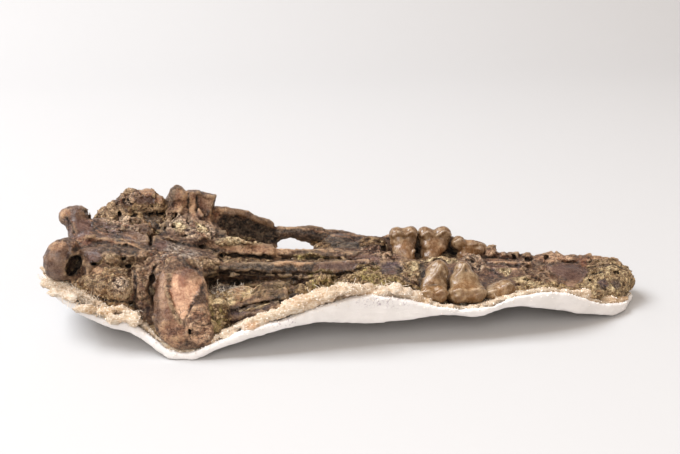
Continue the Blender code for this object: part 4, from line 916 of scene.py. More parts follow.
class Clay:
    """A block of clay: a grid that holds the distance to the surface, negative inside."""

    def __init__(self, low, high, cell):
        self.low = np.array(low, np.float32)
        self.cell = cell
        self.count = np.ceil((np.array(high) - self.low) / cell).astype(int) + 1
        self.field = np.full(self.count, FAR, np.float32)

    def window(self, low, high):
        first = np.clip(np.floor((low - self.low) / self.cell).astype(int), 0, self.count - 1)
        last = np.clip(np.ceil((high - self.low) / self.cell).astype(int) + 1, 1, self.count)
        axes = [
            (self.low[k] + self.cell * np.arange(first[k], last[k])).astype(np.float32) for k in range(3)
        ]
        slots = tuple(slice(a, b) for a, b in zip(first, last))
        return slots, axes[0][:, None, None], axes[1][None, :, None], axes[2][None, None, :]

    def axes(self):
        """The whole block's places along X, Y and Z."""
        return self.window(self.low, self.low + self.cell * self.count)[1:]

    def places(self, slots):
        """Points in millimetres of numbered places on the grid."""
        return self.low + self.cell * np.stack(slots, 1).astype(np.float32)

    def add(self, form, blend):
        low, high, distance = form
        slots, *axes = self.window(low - blend - 3, high + blend + 3)
        self.field[slots] = smooth_min(self.field[slots], distance(*axes), blend)

    def dig(self, form, blend):
        low, high, distance = form
        slots, *axes = self.window(low - blend - 3, high + blend + 3)
        self.field[slots] = -smooth_min(-self.field[slots], distance(*axes), blend)

    def wear(self, depth, reach=3.5):
        """Moves the surface in by depth(points)."""
        near = np.nonzero(np.abs(self.field) < reach)
        self.field[near] += depth(self.places(near)).astype(np.float32)

    def stop_at(self, height):
        """Cuts the clay off level, at its underside."""
        _, _, z = self.axes()
        self.field = np.maximum(self.field, height - z).astype(np.float32)

    def hollows(self, reach):
        """How far the solid wraps round each place, from -1 on a tip to 1 in a narrow pit."""
        solid = np.clip(0.5 - self.field / (2 * self.cell), 0, 1)
        width = max(1, round(reach / self.cell))
        for _ in range(2):
            for axis in range(3):
                padding = [(width + 1, width) if k == axis else (0, 0) for k in range(3)]
                total = np.cumsum(np.pad(solid, padding, mode="edge"), axis=axis, dtype=np.float64)
                size = solid.shape[axis]
                upper = np.take(total, range(2 * width + 1, 2 * width + 1 + size), axis=axis)
                lower = np.take(total, range(size), axis=axis)
                solid = ((upper - lower) / (2 * width + 1)).astype(np.float32)
        return 2 * solid - 1

    def sample(self, grid, points):
        places = (points - self.low) / self.cell
        corner = np.clip(np.floor(places).astype(int), 0, self.count - 2)
        part = np.clip(places - corner, 0, 1)
        total = np.zeros(len(points))
        for step in np.ndindex(2, 2, 2):
            weight = np.prod(np.where(np.array(step), part, 1 - part), axis=1)
            at = corner + np.array(step)
            total += weight * grid[at[:, 0], at[:, 1], at[:, 2]]
        return total

    def skin(self):
        """Points in millimetres and four-sided faces of the surface."""
        field, inside = self.field, self.field < 0
        for axis in range(3):
            edge = [slice(None)] * 3
            for side in (0, -1):
                edge[axis] = side
                inside[tuple(edge)] = False
        filled = sum(
            inside[tuple(slice(s, n - 1 + s) for s, n in zip(step, inside.shape))].astype(np.int8)
            for step in np.ndindex(2, 2, 2)
        )
        crossed = (filled > 0) & (filled < 8)
        cells = np.argwhere(crossed)
        number = np.full(crossed.shape, -1, np.int32)
        number[crossed] = np.arange(len(cells))
        total = np.zeros((len(cells), 3))
        hits = np.zeros(len(cells))
        for step in np.ndindex(2, 2, 2):
            for axis in range(3):
                if step[axis]:
                    continue
                start = cells + np.array(step)
                end = start + np.eye(3, dtype=int)[axis]
                a, b = (
                    np.where(inside[at], np.minimum(field[at], -1e-4), np.maximum(field[at], 1e-4))
                    for at in (tuple(start.T), tuple(end.T))
                )
                cut = (a < 0) != (b < 0)
                share = np.where(cut, a / np.where(cut, a - b, 1), 0)
                place = np.array(step) + share[:, None] * np.eye(3)[axis]
                total += place * cut[:, None]
                hits += cut
        points = self.low + self.cell * (cells + total / hits[:, None])
        faces = []
        for axis in range(3):
            u, v = [k for k in range(3) if k != axis]
            lower = [slice(1, n - 1) for n in inside.shape]
            lower[axis] = slice(0, inside.shape[axis] - 1)
            upper = list(lower)
            upper[axis] = slice(1, inside.shape[axis])
            change = inside[tuple(lower)].astype(np.int8) - inside[tuple(upper)].astype(np.int8)
            for sign in (1, -1):
                at = np.argwhere(change == sign)
                at[:, u] += 1
                at[:, v] += 1
                ring = []
                for du, dv in ((-1, -1), (0, -1), (0, 0), (-1, 0)):
                    cell = at.copy()
                    cell[:, u] += du
                    cell[:, v] += dv
                    ring.append(number[tuple(cell.T)])
                quads = np.stack(ring, 1)
                outward = sign * (1 if axis != 1 else -1)
                faces.append(quads if outward > 0 else quads[:, ::-1])
        return points, np.concatenate(faces)


def mesh_object(name, points, faces):
    """A smooth-shaded object from points in millimetres and faces with equal corners."""
    mesh = bpy.data.meshes.new(name)
    corners = faces.shape[1]
    mesh.vertices.add(len(points))
    mesh.vertices.foreach_set("co", (points * MM).astype(np.float32).ravel())
    mesh.loops.add(faces.size)
    mesh.loops.foreach_set("vertex_index", faces.astype(np.int32).ravel())
    mesh.polygons.add(len(faces))
    mesh.polygons.foreach_set("loop_start", np.arange(0, faces.size, corners, dtype=np.int32))
    mesh.polygons.foreach_set("use_smooth", np.ones(len(faces), bool))
    mesh.update(calc_edges=True)
    obj = bpy.data.objects.new(name, mesh)
    bpy.context.scene.collection.objects.link(obj)
    return obj


def corner_points(obj):
    """The object's points, in millimetres."""
    points = np.empty(len(obj.data.vertices) * 3, np.float32)
    obj.data.vertices.foreach_get("co", points)
    return points.reshape(-1, 3) / MM


def apply_modifiers(obj):
    graph = bpy.context.evaluated_depsgraph_get()
    mesh = bpy.data.meshes.new_from_object(obj.evaluated_get(graph))
    obj.modifiers.clear()
    obj.data = mesh


def keep_main_body(points, faces):
    """Drops the crumbs that float free of the main body."""
    label = np.arange(len(points))
    edges = np.concatenate([faces[:, [0, 1]], faces[:, [1, 2]], faces[:, [2, 3]]])
    while True:
        low = np.minimum(label[edges[:, 0]], label[edges[:, 1]])
        new = label.copy()
        np.minimum.at(new, edges[:, 0], low)
        np.minimum.at(new, edges[:, 1], low)
        new = new[new]
        new = new[new]
        if (new == label).all():
            break
        label = new
    main = np.bincount(label).argmax()
    kept = label == main
    number = np.cumsum(kept) - 1
    return points[kept], number[faces[kept[faces[:, 0]]]]


def skin_piece(name, clay, most_triangles):
    """The clay's surface as an object, thinned to a number of triangles."""
    points, faces = keep_main_body(*clay.skin())
    obj = mesh_object(name, points, faces)
    share = most_triangles / (2 * len(faces))
    if share < 1:
        thin = obj.modifiers.new("thin", "DECIMATE")
        thin.ratio = share
        apply_modifiers(obj)
        obj.data.polygons.foreach_set("use_smooth", np.ones(len(obj.data.polygons), bool))
    return obj


def set_value(obj, name, values):
    layer = obj.data.attributes.new(name, "FLOAT", "POINT")
    layer.data.foreach_set("value", np.asarray(values, np.float32))


def linear(tint):
    """A colour written as six hexadecimal digits, in linear light."""
    parts = np.array([int(tint[k : k + 2], 16) / 255 for k in (0, 2, 4)])
    return np.where(parts <= 0.04045, parts / 12.92, ((parts + 0.055) / 1.055) ** 2.4)


def nearness(points, spots, ragged, fade=0.35):
    """1 inside the spots and 0 away from them. A spot is (centre), (radii)."""
    total = np.zeros(len(points))
    for centre, radii in spots:
        far = np.sqrt((((points - np.array(centre)) / np.array(radii)) ** 2).sum(1)) + ragged
        total = np.maximum(total, 1 - smooth_step(1 - fade, 1 + fade, far))
    return total


def patched(points, base, patches, ragged):
    """A colour for each point, from given tints: each patch is (tint, strength, spots)."""
    colour = np.tile(linear(base), (len(points), 1))
    for tint, strength, spots in patches:
        share = (strength * nearness(points, spots, ragged))[:, None]
        colour = colour * (1 - share) + linear(tint) * share
    return colour


def set_tints(obj, colours):
    layer = obj.data.attributes.new("tint", "FLOAT_COLOR", "POINT")
    layer.data.foreach_set("color", np.c_[colours, np.ones(len(colours))].astype(np.float32).ravel())


def at_station(table, x):
    """The row of values at x, on a smooth curve through the table's rows."""
    rows = [table[0], *table, table[-1]]
    last = len(table) - 1
    i = min(max(sum(1 for row in table if row[0] <= x) - 1, 0), last - 1)
    before, start, end, after = rows[i : i + 4]
    t = min(max((x - start[0]) / (end[0] - start[0]), 0.0), 1.0)
    values = []
    for a, b, c, d in zip(before[1:], start[1:], end[1:], after[1:]):
        rise = (c - a) / 2
        fall = (d - b) / 2
        bend = 2 * (b - c) + rise + fall
        values.append(b + rise * t + (3 * (c - b) - 2 * rise - fall) * t**2 + bend * t**3)
    return values


def jacket_section(x):
    """Outer and inner lines of the plaster at x, each from the near rim to the far rim."""
    near, far, low, top, far_low, level_near, level_far, floor, share = at_station(RIM, x)
    wall = SHELL * share
    floor = max(floor, 0.0)
    low = max(low, floor)
    far_top = far_low + FAR_WALL * share
    outer = [
        (near, top), (near, low), ((near + level_near) / 2, floor + (low - floor) * SAG), (level_near, floor),
        ((level_near + level_far) / 2, floor), (level_far, floor),
        ((far + level_far) / 2, floor + (far_low - floor) * SAG), (far, far_low), (far, far_top),
    ]
    lip = 0.8 * wall
    near_foot = near + 1.3 * wall
    far_foot = far - 1.3 * wall
    inner_near = max(level_near, near_foot + INNER_SLOPE * share)
    inner_far = min(level_far, far_foot - INNER_SLOPE * share)
    inner = [
        (near + lip, top), (near_foot, min(low + 0.8 * wall, top - 0.1 * wall)),
        ((near_foot + inner_near) / 2, floor + (low - floor) * SAG + wall), (inner_near, floor + wall),
        ((inner_near + inner_far) / 2, floor + wall), (inner_far, floor + wall),
        ((far_foot + inner_far) / 2, floor + (far_low - floor) * SAG + wall),
        (far_foot, min(far_low + 0.8 * wall, far_top - 0.1 * wall)), (far - lip, far_top),
    ]
    return outer, inner


def lining_section(x):
    """Outer and inner lines of the burlap at x."""
    _, plaster = jacket_section(x)
    (roll,) = at_station(LINING_ROLL, x)
    thick = LINING * at_station(RIM, x)[-1]
    sides = [1, 1, 0.7, 0, 0, 0, -0.7, -1, -1]
    outer = [(y + GAP * side, z + GAP) for (y, z), side in zip(plaster, sides)]
    inner = [(y + (GAP + thick) * side, z + GAP + thick) for (y, z), side in zip(plaster, sides)]
    inner[0] = (outer[0][0] + thick, outer[0][1] + roll)
    outer[0] = (outer[0][0], outer[0][1] + roll * 0.8)
    inner[-1] = (outer[-1][0] - thick, outer[-1][1] + GAP)
    return outer, inner


def loop_distance(loop, y, z):
    """Distance to a closed line, negative inside it."""
    nearest = np.full(np.broadcast(y, z).shape, 1e9, np.float32)
    inside = np.zeros(nearest.shape, bool)
    for (ay, az), (by, bz) in zip(loop, [*loop[1:], loop[0]]):
        dy, dz = by - ay, bz - az
        t = np.clip(((y - ay) * dy + (z - az) * dz) / max(dy * dy + dz * dz, 1e-9), 0, 1)
        nearest = np.minimum(nearest, np.hypot(y - ay - dy * t, z - az - dz * t))
        if abs(dz) > 1e-9:
            inside ^= ((az > z) != (bz > z)) & (y < ay + (z - az) * dy / dz)
    return np.where(inside, -nearest, nearest)


def shell_field(clay, section):
    """Fills the clay with the shell between the outer and inner lines that section(x) gives."""
    x, y, z = clay.axes()
    y, z = y[0], z[0]
    for i, place in enumerate(x[:, 0, 0]):
        if RIM[0][0] <= place <= RIM[-1][0]:
            outer, inner = section(float(place))
            clay.field[i] = loop_distance([*outer, *reversed(inner)], y, z)
    ends = np.maximum(RIM[0][0] + 0.5 - x, x - RIM[-1][0] + 0.5)
    clay.field = np.minimum(np.maximum(clay.field, ends), FAR).astype(np.float32)


def pixel_of(points):
    """The photograph's pixel at which each point lies, and how far it is from the camera."""
    forward = CAMERA_AIM - CAMERA_EYE
    forward /= np.linalg.norm(forward)
    right = np.cross(forward, (0, 0, 1))
    right /= np.linalg.norm(right)
    offsets = points - CAMERA_EYE
    depth = offsets @ forward
    scale = LENS / SENSOR * PHOTO_WIDE / depth
    u = PHOTO_WIDE / 2 + scale * (offsets @ right)
    v = PHOTO_HIGH / 2 - scale * (offsets @ np.cross(right, forward))
    return u, v, depth


class Sight:
    """How far off the first solid is at each pixel of the photograph."""

    def __init__(self, clays):
        self.depth = np.full((PHOTO_HIGH, PHOTO_WIDE), 1e6)
        for clay in clays:
            solid = np.nonzero((clay.field < 0) & (clay.field > -1.8 * clay.cell))
            u, v, depth = pixel_of(clay.low + clay.cell * np.stack(solid, 1))
            for shift in ((0, 0), (-1, 0), (1, 0), (0, -1), (0, 1)):
                row, column = self.slot(u + shift[0], v + shift[1])
                np.minimum.at(self.depth, (row, column), depth)

    def slot(self, u, v):
        row = np.clip(np.round(v).astype(int), 0, PHOTO_HIGH - 1)
        return row, np.clip(np.round(u).astype(int), 0, PHOTO_WIDE - 1)

    def sees(self, u, v, depth):
        """1 on what the camera sees and 0 on what lies behind it."""
        return 1 - smooth_step(4, 9, depth - self.depth[self.slot(u, v)])


def path_distance(path, u, v):
    nearest = np.full(u.shape, 1e9)
    for (au, av), (bu, bv) in zip(path, path[1:]):
        du, dv = bu - au, bv - av
        t = np.clip(((u - au) * du + (v - av) * dv) / (du * du + dv * dv), 0, 1)
        nearest = np.minimum(nearest, np.hypot(u - au - du * t, v - av - dv * t))
    return nearest


def within(outline, margin, u, v):
    """Numbers of the places near an outline's box."""
    low, high = np.min(outline, axis=0) - margin, np.max(outline, axis=0) + margin
    return np.nonzero((u > low[0]) & (u < high[0]) & (v > low[1]) & (v < high[1]))[0]


class Surface:
    """What covers a set of points: tint, how smooth, crushed and sandy it is, and how far it stands proud."""

    def __init__(self, points, base_tint, patches, sand, sight, grain):
        self.tint = patched(points, base_tint, patches, 0.25 * grain.layers(points, 5, 3))
        self.nature = np.zeros((len(points), 3))
        self.nature[:, 2] = sand
        self.rise = np.zeros(len(points))
        u, v, depth = pixel_of(points)
        seen = sight.sees(u, v, depth)
        seen_points = np.nonzero(seen > 0)[0]
        seen = seen[seen_points]

        def ragged(shift):
            places = points[seen_points] + shift
            return 1.3 * grain.cloud(places, 5) + grain.cloud(places, 1.8)

        u = u[seen_points] + ragged(0)
        v = v[seen_points] + ragged(40)
        for _, look, height, outline in MARKS:
            near = within(outline, 3, u, v)
            off = loop_distance(outline, u[near], v[near])
            share = seen[near] * (1 - smooth_step(-1.4, 1.8, off))
            self.cover(seen_points[near], share, look, height)
        for _, depth, half, look, path in CRACKS:
            near = within(path, half + 2, u, v)
            off = path_distance(path, u[near], v[near])
            share = 0.8 * seen[near] * (1 - smooth_step(0.3 * half, half + 0.8, off))
            self.cover(seen_points[near], share, look, -depth)

    def cover(self, numbers, share, look, height):
        tint, *nature = LOOKS[look]
        share = share[:, None]
        self.tint[numbers] += share * (linear(tint) - self.tint[numbers])
        self.nature[numbers] += share * (np.array(nature) - self.nature[numbers])
        self.rise[numbers] += share[:, 0] * height

    def relief(self, points, grain):
        """How far in the surface lies at each point, in millimetres."""
        smooth, crushed, sand = self.nature.T
        wander = grain.wandered(points, 8)
        far, gap, shade = grain.pebbles(wander, 7.5)
        plates = 2.6 * (shade - 0.5) + 7 * np.clip(0.16 - gap, 0, 0.16)
        stones = 2.4 * (shade - 0.5) + 2.6 * (far - 0.5)
        far, gap, shade = grain.pebbles(wander + 90, 3.4)
        chips = 1.6 * (shade - 0.5) + 3 * np.clip(0.15 - gap, 0, 0.15)
        grained = grain.layers(points * np.array((0.25, 1, 1)), 3.0, 3)
        bone = (0.25 + 0.75 * crushed) * plates + (0.25 + 0.75 * crushed) * chips + 0.45 * grained
        bone += 0.5 * grain.layers(points, 9, 4, 0.65)
        bone *= 1 - 0.86 * smooth
        crumbs = stones + 1.5 * (shade - 0.5) + 1.2 * (far - 0.5) + 1.1 * grain.layers(points, 10, 4, 0.6)
        return bone * (1 - sand) + 1.25 * sand * crumbs - self.rise

    def paint(self, obj):
        for name, share in zip(("polish", "crushed", "sediment"), self.nature.T):
            set_value(obj, name, np.clip(share, 0, 1))
        set_tints(obj, self.tint)


def bore_holes(clay, sight, grain):
    """Sinks the holes in along the line of sight."""
    near = np.nonzero((clay.field < 3) & (clay.field > -13))
    points = (clay.low + clay.cell * np.stack(near, 1)).astype(np.float32)
    u, v, depth = pixel_of(points)
    for _, deep, outline in HOLES:
        chosen = within(outline, 1.5, u, v)
        at = points[chosen]
        across = u[chosen] + 0.7 * grain.cloud(at, 2.2)
        down = v[chosen] + 0.7 * grain.cloud(at + 40, 2.2)
        side = PIXEL * loop_distance(outline, across, down)
        beyond = depth[chosen] - sight.depth[sight.slot(u[chosen], v[chosen])] - deep
        slots = tuple(axis[chosen] for axis in near)
        clay.field[slots] = np.maximum(clay.field[slots], -np.maximum(side, beyond))


def exposed(points):
    """0 on what is buried in the jacket and 1 on what shows."""
    x, y, z = points.T
    buried = (1 - smooth_step(9, 15, z)) * smooth_step(-58, -48, y) * (1 - smooth_step(140, 165, x))
    return 1 - buried


def shape_surface(clay, base_tint, patches, sand, sight, grain, reach=2.8):
    """Wears the relief into the clay, then sinks the holes along the line of sight."""
    near = np.nonzero(np.abs(clay.field) < reach)
    points = clay.places(near)
    shown = exposed(points)
    kept = shown > 0.02
    near = tuple(axis[kept] for axis in near)
    points, shown = points[kept], shown[kept]
    surface = Surface(points, base_tint, patches, sand(points), sight, grain)
    clay.field[near] += (shown * surface.relief(points, grain)).astype(np.float32)
    bore_holes(clay, sight, grain)


def colour_surface(obj, clay, base_tint, patches, sand, sight, grain):
    points = corner_points(obj)
    # The finish darkens by these hollow values: painted shade in crevices, partly crevice dirt.
    hollow = clay.sample(clay.hollows(1.5), points)
    wide = clay.sample(clay.hollows(5.0), points)
    surface = Surface(points, base_tint, patches, sand(points), sight, grain)
    caught = smooth_step(0.2, 0.6, wide + 0.25 * grain.layers(points, 6, 3))
    surface.nature[:, 2] = np.maximum(surface.nature[:, 2], 0.9 * caught * (1 - surface.nature[:, 0]))
    surface.paint(obj)
    set_value(obj, "hollow", hollow)
    set_value(obj, "wide_hollow", wide)
    return surface


def add_node(tree, kind, inputs, **settings):
    """The outputs of a new node, whose inputs are values or other nodes' outputs."""
    made = tree.nodes.new(kind)
    for key, value in settings.items():
        setattr(made, key, value)
    for key, value in inputs.items():
        if isinstance(value, bpy.types.NodeSocket):
            tree.links.new(value, made.inputs[key])
        else:
            made.inputs[key].default_value = value
    return made.outputs


class Recipe:
    """The node tree of one finish. Sizes are in millimetres."""

    def __init__(self, name):
        self.material = bpy.data.materials.new(name)
        self.material.use_nodes = True
        self.shader = self.material.node_tree.nodes["Principled BSDF"]
        self.place = self.node("ShaderNodeTexCoord", {})["Object"]

    def node(self, kind, inputs, **settings):
        return add_node(self.material.node_tree, kind, inputs, **settings)

    def noise(self, size, detail=4.0, roughness=0.6, stretch=None):
        place = self.place
        if stretch:
            place = self.node("ShaderNodeMapping", {"Vector": place, "Scale": stretch})["Vector"]
        inputs = {"Vector": place, "Scale": 1 / (size * MM), "Detail": detail, "Roughness": roughness}
        return self.node("ShaderNodeTexNoise", inputs)["Fac"]

    def cells(self, size, feature="F1", output="Distance"):
        inputs = {"Vector": self.place, "Scale": 1 / (size * MM)}
        return self.node("ShaderNodeTexVoronoi", inputs, feature=feature)[output]

    def value(self, name):
        return self.node("ShaderNodeAttribute", {}, attribute_name=name)["Fac"]

    def colour(self, name):
        return self.node("ShaderNodeAttribute", {}, attribute_name=name)["Color"]

    def maths(self, operation, a, b, clamp=False):
        return self.node("ShaderNodeMath", {0: a, 1: b}, operation=operation, use_clamp=clamp)[0]

    def times(self, a, b):
        return self.maths("MULTIPLY", a, b)

    def spread(self, value, low, high, new_low=0.0, new_high=1.0):
        """Maps low..high to new_low..new_high, held at the ends."""
        inputs = dict(enumerate((value, low, high, new_low, new_high)))
        return self.node("ShaderNodeMapRange", inputs, interpolation_type="SMOOTHSTEP")["Result"]

    def mix(self, share, a, b, blend="MIX"):
        a, b = ((*linear(tint), 1.0) if isinstance(tint, str) else tint for tint in (a, b))
        return self.node("ShaderNodeMix", {0: share, 6: a, 7: b}, data_type="RGBA", blend_type=blend)[2]

    def stained(self, ground, tint):
        return self.mix(1.0, ground, tint, "MULTIPLY")

    def flecked(self, ground, lit, strength, light, shaded, dark):
        """The ground, lightened by the share lit and stained by the share shaded."""
        ground = self.mix(lit, ground, self.mix(strength, ground, light))
        return self.mix(shaded, ground, self.stained(ground, dark))

    def tones(self, size):
        """Three random values for each cell."""
        return self.node("ShaderNodeSeparateColor", {0: self.cells(size, output="Color")})

    def bump(self, height, depth, strength=1.0, after=None):
        inputs = {"Height": height, "Distance": depth * MM, "Strength": strength}
        if after is not None:
            inputs["Normal"] = after
        return self.node("ShaderNodeBump", inputs)["Normal"]

    def finish(self, colour, roughness, normal):
        for name, made in (("Base Color", colour), ("Roughness", roughness), ("Normal", normal)):
            self.material.node_tree.links.new(made, self.shader.inputs[name])
        return self.material


def weathered_bone(r, tint, blotches, flecks, seams, cracks):
    """Bone with veins, flecks and cracks, in chips where it is crushed and calm where it is polished."""
    crushed = r.value("crushed")
    raw = r.maths("SUBTRACT", 1.0, r.times(r.value("polish"), 0.75))
    veins = r.noise(3.2, 5, 0.75, (0.3, 1.0, 1.0))
    chips = r.tones(CHIP)
    specks = r.tones(1.1)
    bone = r.mix(r.spread(blotches, 0.36, 0.62), r.stained(tint, "b09488"), tint)
    light_vein, dark_vein = r.spread(veins, 0.5, 0.64), r.spread(veins, 0.48, 0.36)
    bone = r.flecked(bone, r.times(light_vein, raw), 0.36, "b5947c", r.times(dark_vein, raw), "84685a")
    light_fleck, dark_fleck = r.spread(flecks, 0.53, 0.62), r.spread(flecks, 0.47, 0.36)
    bone = r.flecked(bone, r.times(light_fleck, raw), 0.32, "d2b79c", r.times(dark_fleck, raw), "5c4638")
    light_chip, dark_chip = (r.times(r.spread(chips[k], 0.6, 0.9), crushed) for k in (0, 1))
    bone = r.flecked(bone, light_chip, 0.55, "d3bfac", dark_chip, "6c5346")
    bone = r.mix(r.times(r.spread(seams, 0.07, 0.0, 0, 0.8), crushed), bone, "3a2a20")
    light_speck, dark_speck = (r.times(r.spread(specks[k], 0.84, 0.97, 0, 0.5), raw) for k in (0, 1))
    bone = r.flecked(bone, light_speck, 0.4, "dcc6b0", dark_speck, "5c483c")
    return r.mix(cracks, bone, "241812")


def crumbly_sand(r, tint, clods):
    """Sediment in clods, with pale and dark grains."""
    lumps = r.tones(CLOD)
    grains = r.tones(SAND_GRAIN)
    sand = r.mix(r.spread(r.noise(5, 5, 0.75), 0.4, 0.6), r.stained(tint, "8c745e"), tint)
    sand = r.mix(r.spread(lumps[0], 0.55, 0.95, 0, 0.7), sand, r.mix(0.5, sand, "cdb596"))
    sand = r.mix(r.spread(lumps[1], 0.65, 0.95, 0, 0.6), sand, "7a6048")
    sand = r.mix(r.spread(grains[1], 0.8, 0.97, 0, 0.55), sand, "d6c2a0")
    sand = r.mix(r.spread(grains[2], 0.82, 0.97, 0, 0.5), sand, "4a382a")
    return r.mix(r.spread(clods, 0.08, 0.0, 0, 0.5), sand, "453425")


def fossil_finish(name):
    """Mineralised bone under a thin consolidant, turning to crumbly sand where the surface is sandy."""
    r = Recipe(name)
    tint, hollow, wide = r.colour("tint"), r.value("hollow"), r.value("wide_hollow")
    sandy, polish, crushed = r.value("sediment"), r.value("polish"), r.value("crushed")
    blotches = r.noise(9, 5, 0.65)
    flecks = r.noise(1.7, 5, 0.8)
    seams = r.cells(CHIP, "DISTANCE_TO_EDGE")
    clods = r.cells(CLOD, "DISTANCE_TO_EDGE")
    cracks = r.spread(r.cells(6.0, "DISTANCE_TO_EDGE"), 0.03, 0.0)
    cracks = r.times(cracks, r.spread(blotches, 0.5, 0.58, 0, 0.6))
    crust = r.spread(r.maths("ADD", sandy, r.times(r.noise(2.6, 5, 0.75), 0.9)), 0.72, 1.0)
    bone = weathered_bone(r, tint, blotches, flecks, seams, cracks)
    colour = r.mix(crust, bone, crumbly_sand(r, tint, clods))
    # Painted shade, partly crevice dirt: darker in narrow and wide hollows; paler on ridges and tips, where
    # the bone is worn.
    colour = r.mix(r.spread(hollow, -0.08, -0.5, 0, 0.7), colour, r.mix(0.5, colour, "dcc0a2"))
    colour = r.mix(r.spread(hollow, 0.08, 0.55, 0, 0.88), colour, "1f150e")
    colour = r.mix(r.spread(wide, 0.35, 0.8, 0, 0.6), colour, "1a120b")
    deep = r.node("ShaderNodeGamma", {"Color": colour, "Gamma": FOSSIL_CONTRAST})[0]
    colour = r.stained(deep, FOSSIL_LIFT)
    satin = r.maths("SUBTRACT", r.spread(flecks, 0.35, 0.65, 0.3, 0.58), r.times(polish, 0.16))
    rough = r.maths("ADD", satin, r.times(crust, 0.35), True)
    fine = r.maths("SUBTRACT", 1.0, r.times(polish, 0.86))
    normal = r.bump(r.times(r.noise(2.2, 7, 0.8), fine), 2.6)
    normal = r.bump(r.times(r.spread(seams, 0.0, 0.16), crushed), 0.9, 1.0, normal)
    normal = r.bump(r.times(cracks, -1.0), 0.5, 0.7, normal)
    normal = r.bump(r.times(r.spread(clods, 0.0, 0.3), crust), 1.6, 1.0, normal)
    normal = r.bump(r.times(r.cells(SAND_GRAIN), crust), 1.2, 0.9, normal)
    return r.finish(colour, rough, normal)


def enamel_finish():
    """Glossy stained enamel, streaked from root to tip."""
    r = Recipe("enamel_finish")
    tint, hollow = r.colour("tint"), r.value("hollow")
    streaks = r.noise(2.6, 5, 0.65, (1.0, 1.0, 0.6))
    blotches = r.noise(5.0, 4, 0.6)
    enamel = r.mix(r.spread(streaks, 0.4, 0.7), r.stained(tint, "bfac97"), tint)
    enamel = r.mix(r.spread(blotches, 0.48, 0.7, 0, 0.6), enamel, r.mix(0.5, enamel, "d0b694"))
    edges = r.cells(3.6, "DISTANCE_TO_EDGE")
    lines = r.times(r.spread(edges, 0.03, 0.0), r.spread(blotches, 0.45, 0.6, 0, 0.45))
    enamel = r.mix(lines, enamel, "3a281a")
    # Painted shade: darker in the crowns' hollows; paler on tips and ridges.
    enamel = r.mix(r.spread(hollow, 0.04, 0.42, 0, 0.85), enamel, "2a1b10")
    enamel = r.mix(r.spread(hollow, -0.2, -0.65, 0, 0.6), enamel, r.mix(0.5, enamel, "e8d6ba"))
    normal = r.bump(r.noise(1.8, 4, 0.6), 0.25, 0.5)
    normal = r.bump(r.times(lines, -1.0), 0.25, 0.5, normal)
    return r.finish(enamel, r.spread(streaks, 0.3, 0.75, 0.2, 0.38), normal)


def plaster_finish():
    """White plaster, brushed by hand, with a little dust and grey smudges on its lip."""
    r = Recipe("plaster_finish")
    smudge, hollow = r.value("smudge"), r.value("hollow")
    cloud = r.noise(16, 5, 0.6)
    strokes = r.noise(4.0, 5, 0.6, (0.35, 1.0, 1.6))
    white = r.mix(r.spread(cloud, 0.35, 0.7), "e1dddb", "d7d3d0")
    white = r.mix(r.spread(strokes, 0.55, 0.8, 0, 0.4), white, "ece9e6")
    specks = r.spread(r.noise(1.1, 3, 0.6), 0.68, 0.74)
    white = r.mix(r.times(specks, 0.25), white, "c9b9a8")
    dust = r.times(smudge, r.spread(r.noise(1.6, 5, 0.75), 0.52, 0.66))
    white = r.mix(dust, white, "9c8f98")
    # Painted shade: a little darker and warmer in the plaster's hollows.
    white = r.mix(r.spread(hollow, 0.1, 0.6, 0, 0.3), white, "c0ae9a")
    normal = r.bump(strokes, 0.9, 0.6)
    normal = r.bump(r.noise(0.9, 3, 0.6), 0.25, 0.6, normal)
    return r.finish(white, r.spread(cloud, 0.3, 0.7, 0.78, 0.92), normal)


def burlap_finish():
    """Torn burlap soaked with plaster: cream, fibrous and crumbly."""
    r = Recipe("burlap_finish")
    tint, hollow, wide = r.colour("tint"), r.value("hollow"), r.value("wide_hollow")
    threads = r.noise(1.3, 6, 0.7, (0.3, 1.0, 1.0))
    across = r.noise(1.3, 6, 0.7, (1.0, 0.35, 0.45))
    cream = r.mix(r.spread(threads, 0.35, 0.65), r.stained(tint, "d8c2aa"), tint)
    cream = r.mix(r.spread(across, 0.52, 0.7, 0, 0.65), cream, "f4ece1")
    cream = r.mix(r.spread(r.noise(5, 5, 0.7), 0.55, 0.7, 0, 0.4), cream, "d8b898")
    cream = r.mix(r.spread(r.noise(1.0, 3, 0.7), 0.64, 0.7, 0, 0.5), cream, "8a6c4e")
    # Painted shade: darker in the burlap's narrow and wide hollows.
    cream = r.mix(r.spread(hollow, 0.03, 0.5, 0, 0.75), cream, "7c5e40")
    cream = r.mix(r.spread(wide, 0.3, 0.8, 0, 0.65), cream, "4c3826")
    normal = r.bump(threads, 1.4, 0.9)
    normal = r.bump(across, 1.2, 0.8, normal)
    return r.finish(cream, r.spread(threads, 0.3, 0.7, 0.85, 0.98), normal)


def crumb_finish(name, low, high):
    """Loose grains, each with a tone of its own."""
    r = Recipe(name)
    shade = r.value("shade")
    colour = r.mix(shade, low, high)
    colour = r.mix(r.spread(r.noise(0.8, 3, 0.6), 0.4, 0.7, 0, 0.4), colour, r.mix(0.6, colour, high))
    return r.finish(colour, r.spread(shade, 0, 1, 0.8, 0.95), r.bump(r.noise(0.6, 3, 0.6), 0.3, 0.6))


def fill(clay, balls, beams=(), blend=BONE_BLEND):
    for run in beams:
        clay.add(beam(run), blend)
    for form in balls:
        clay.add(ball(form), blend)


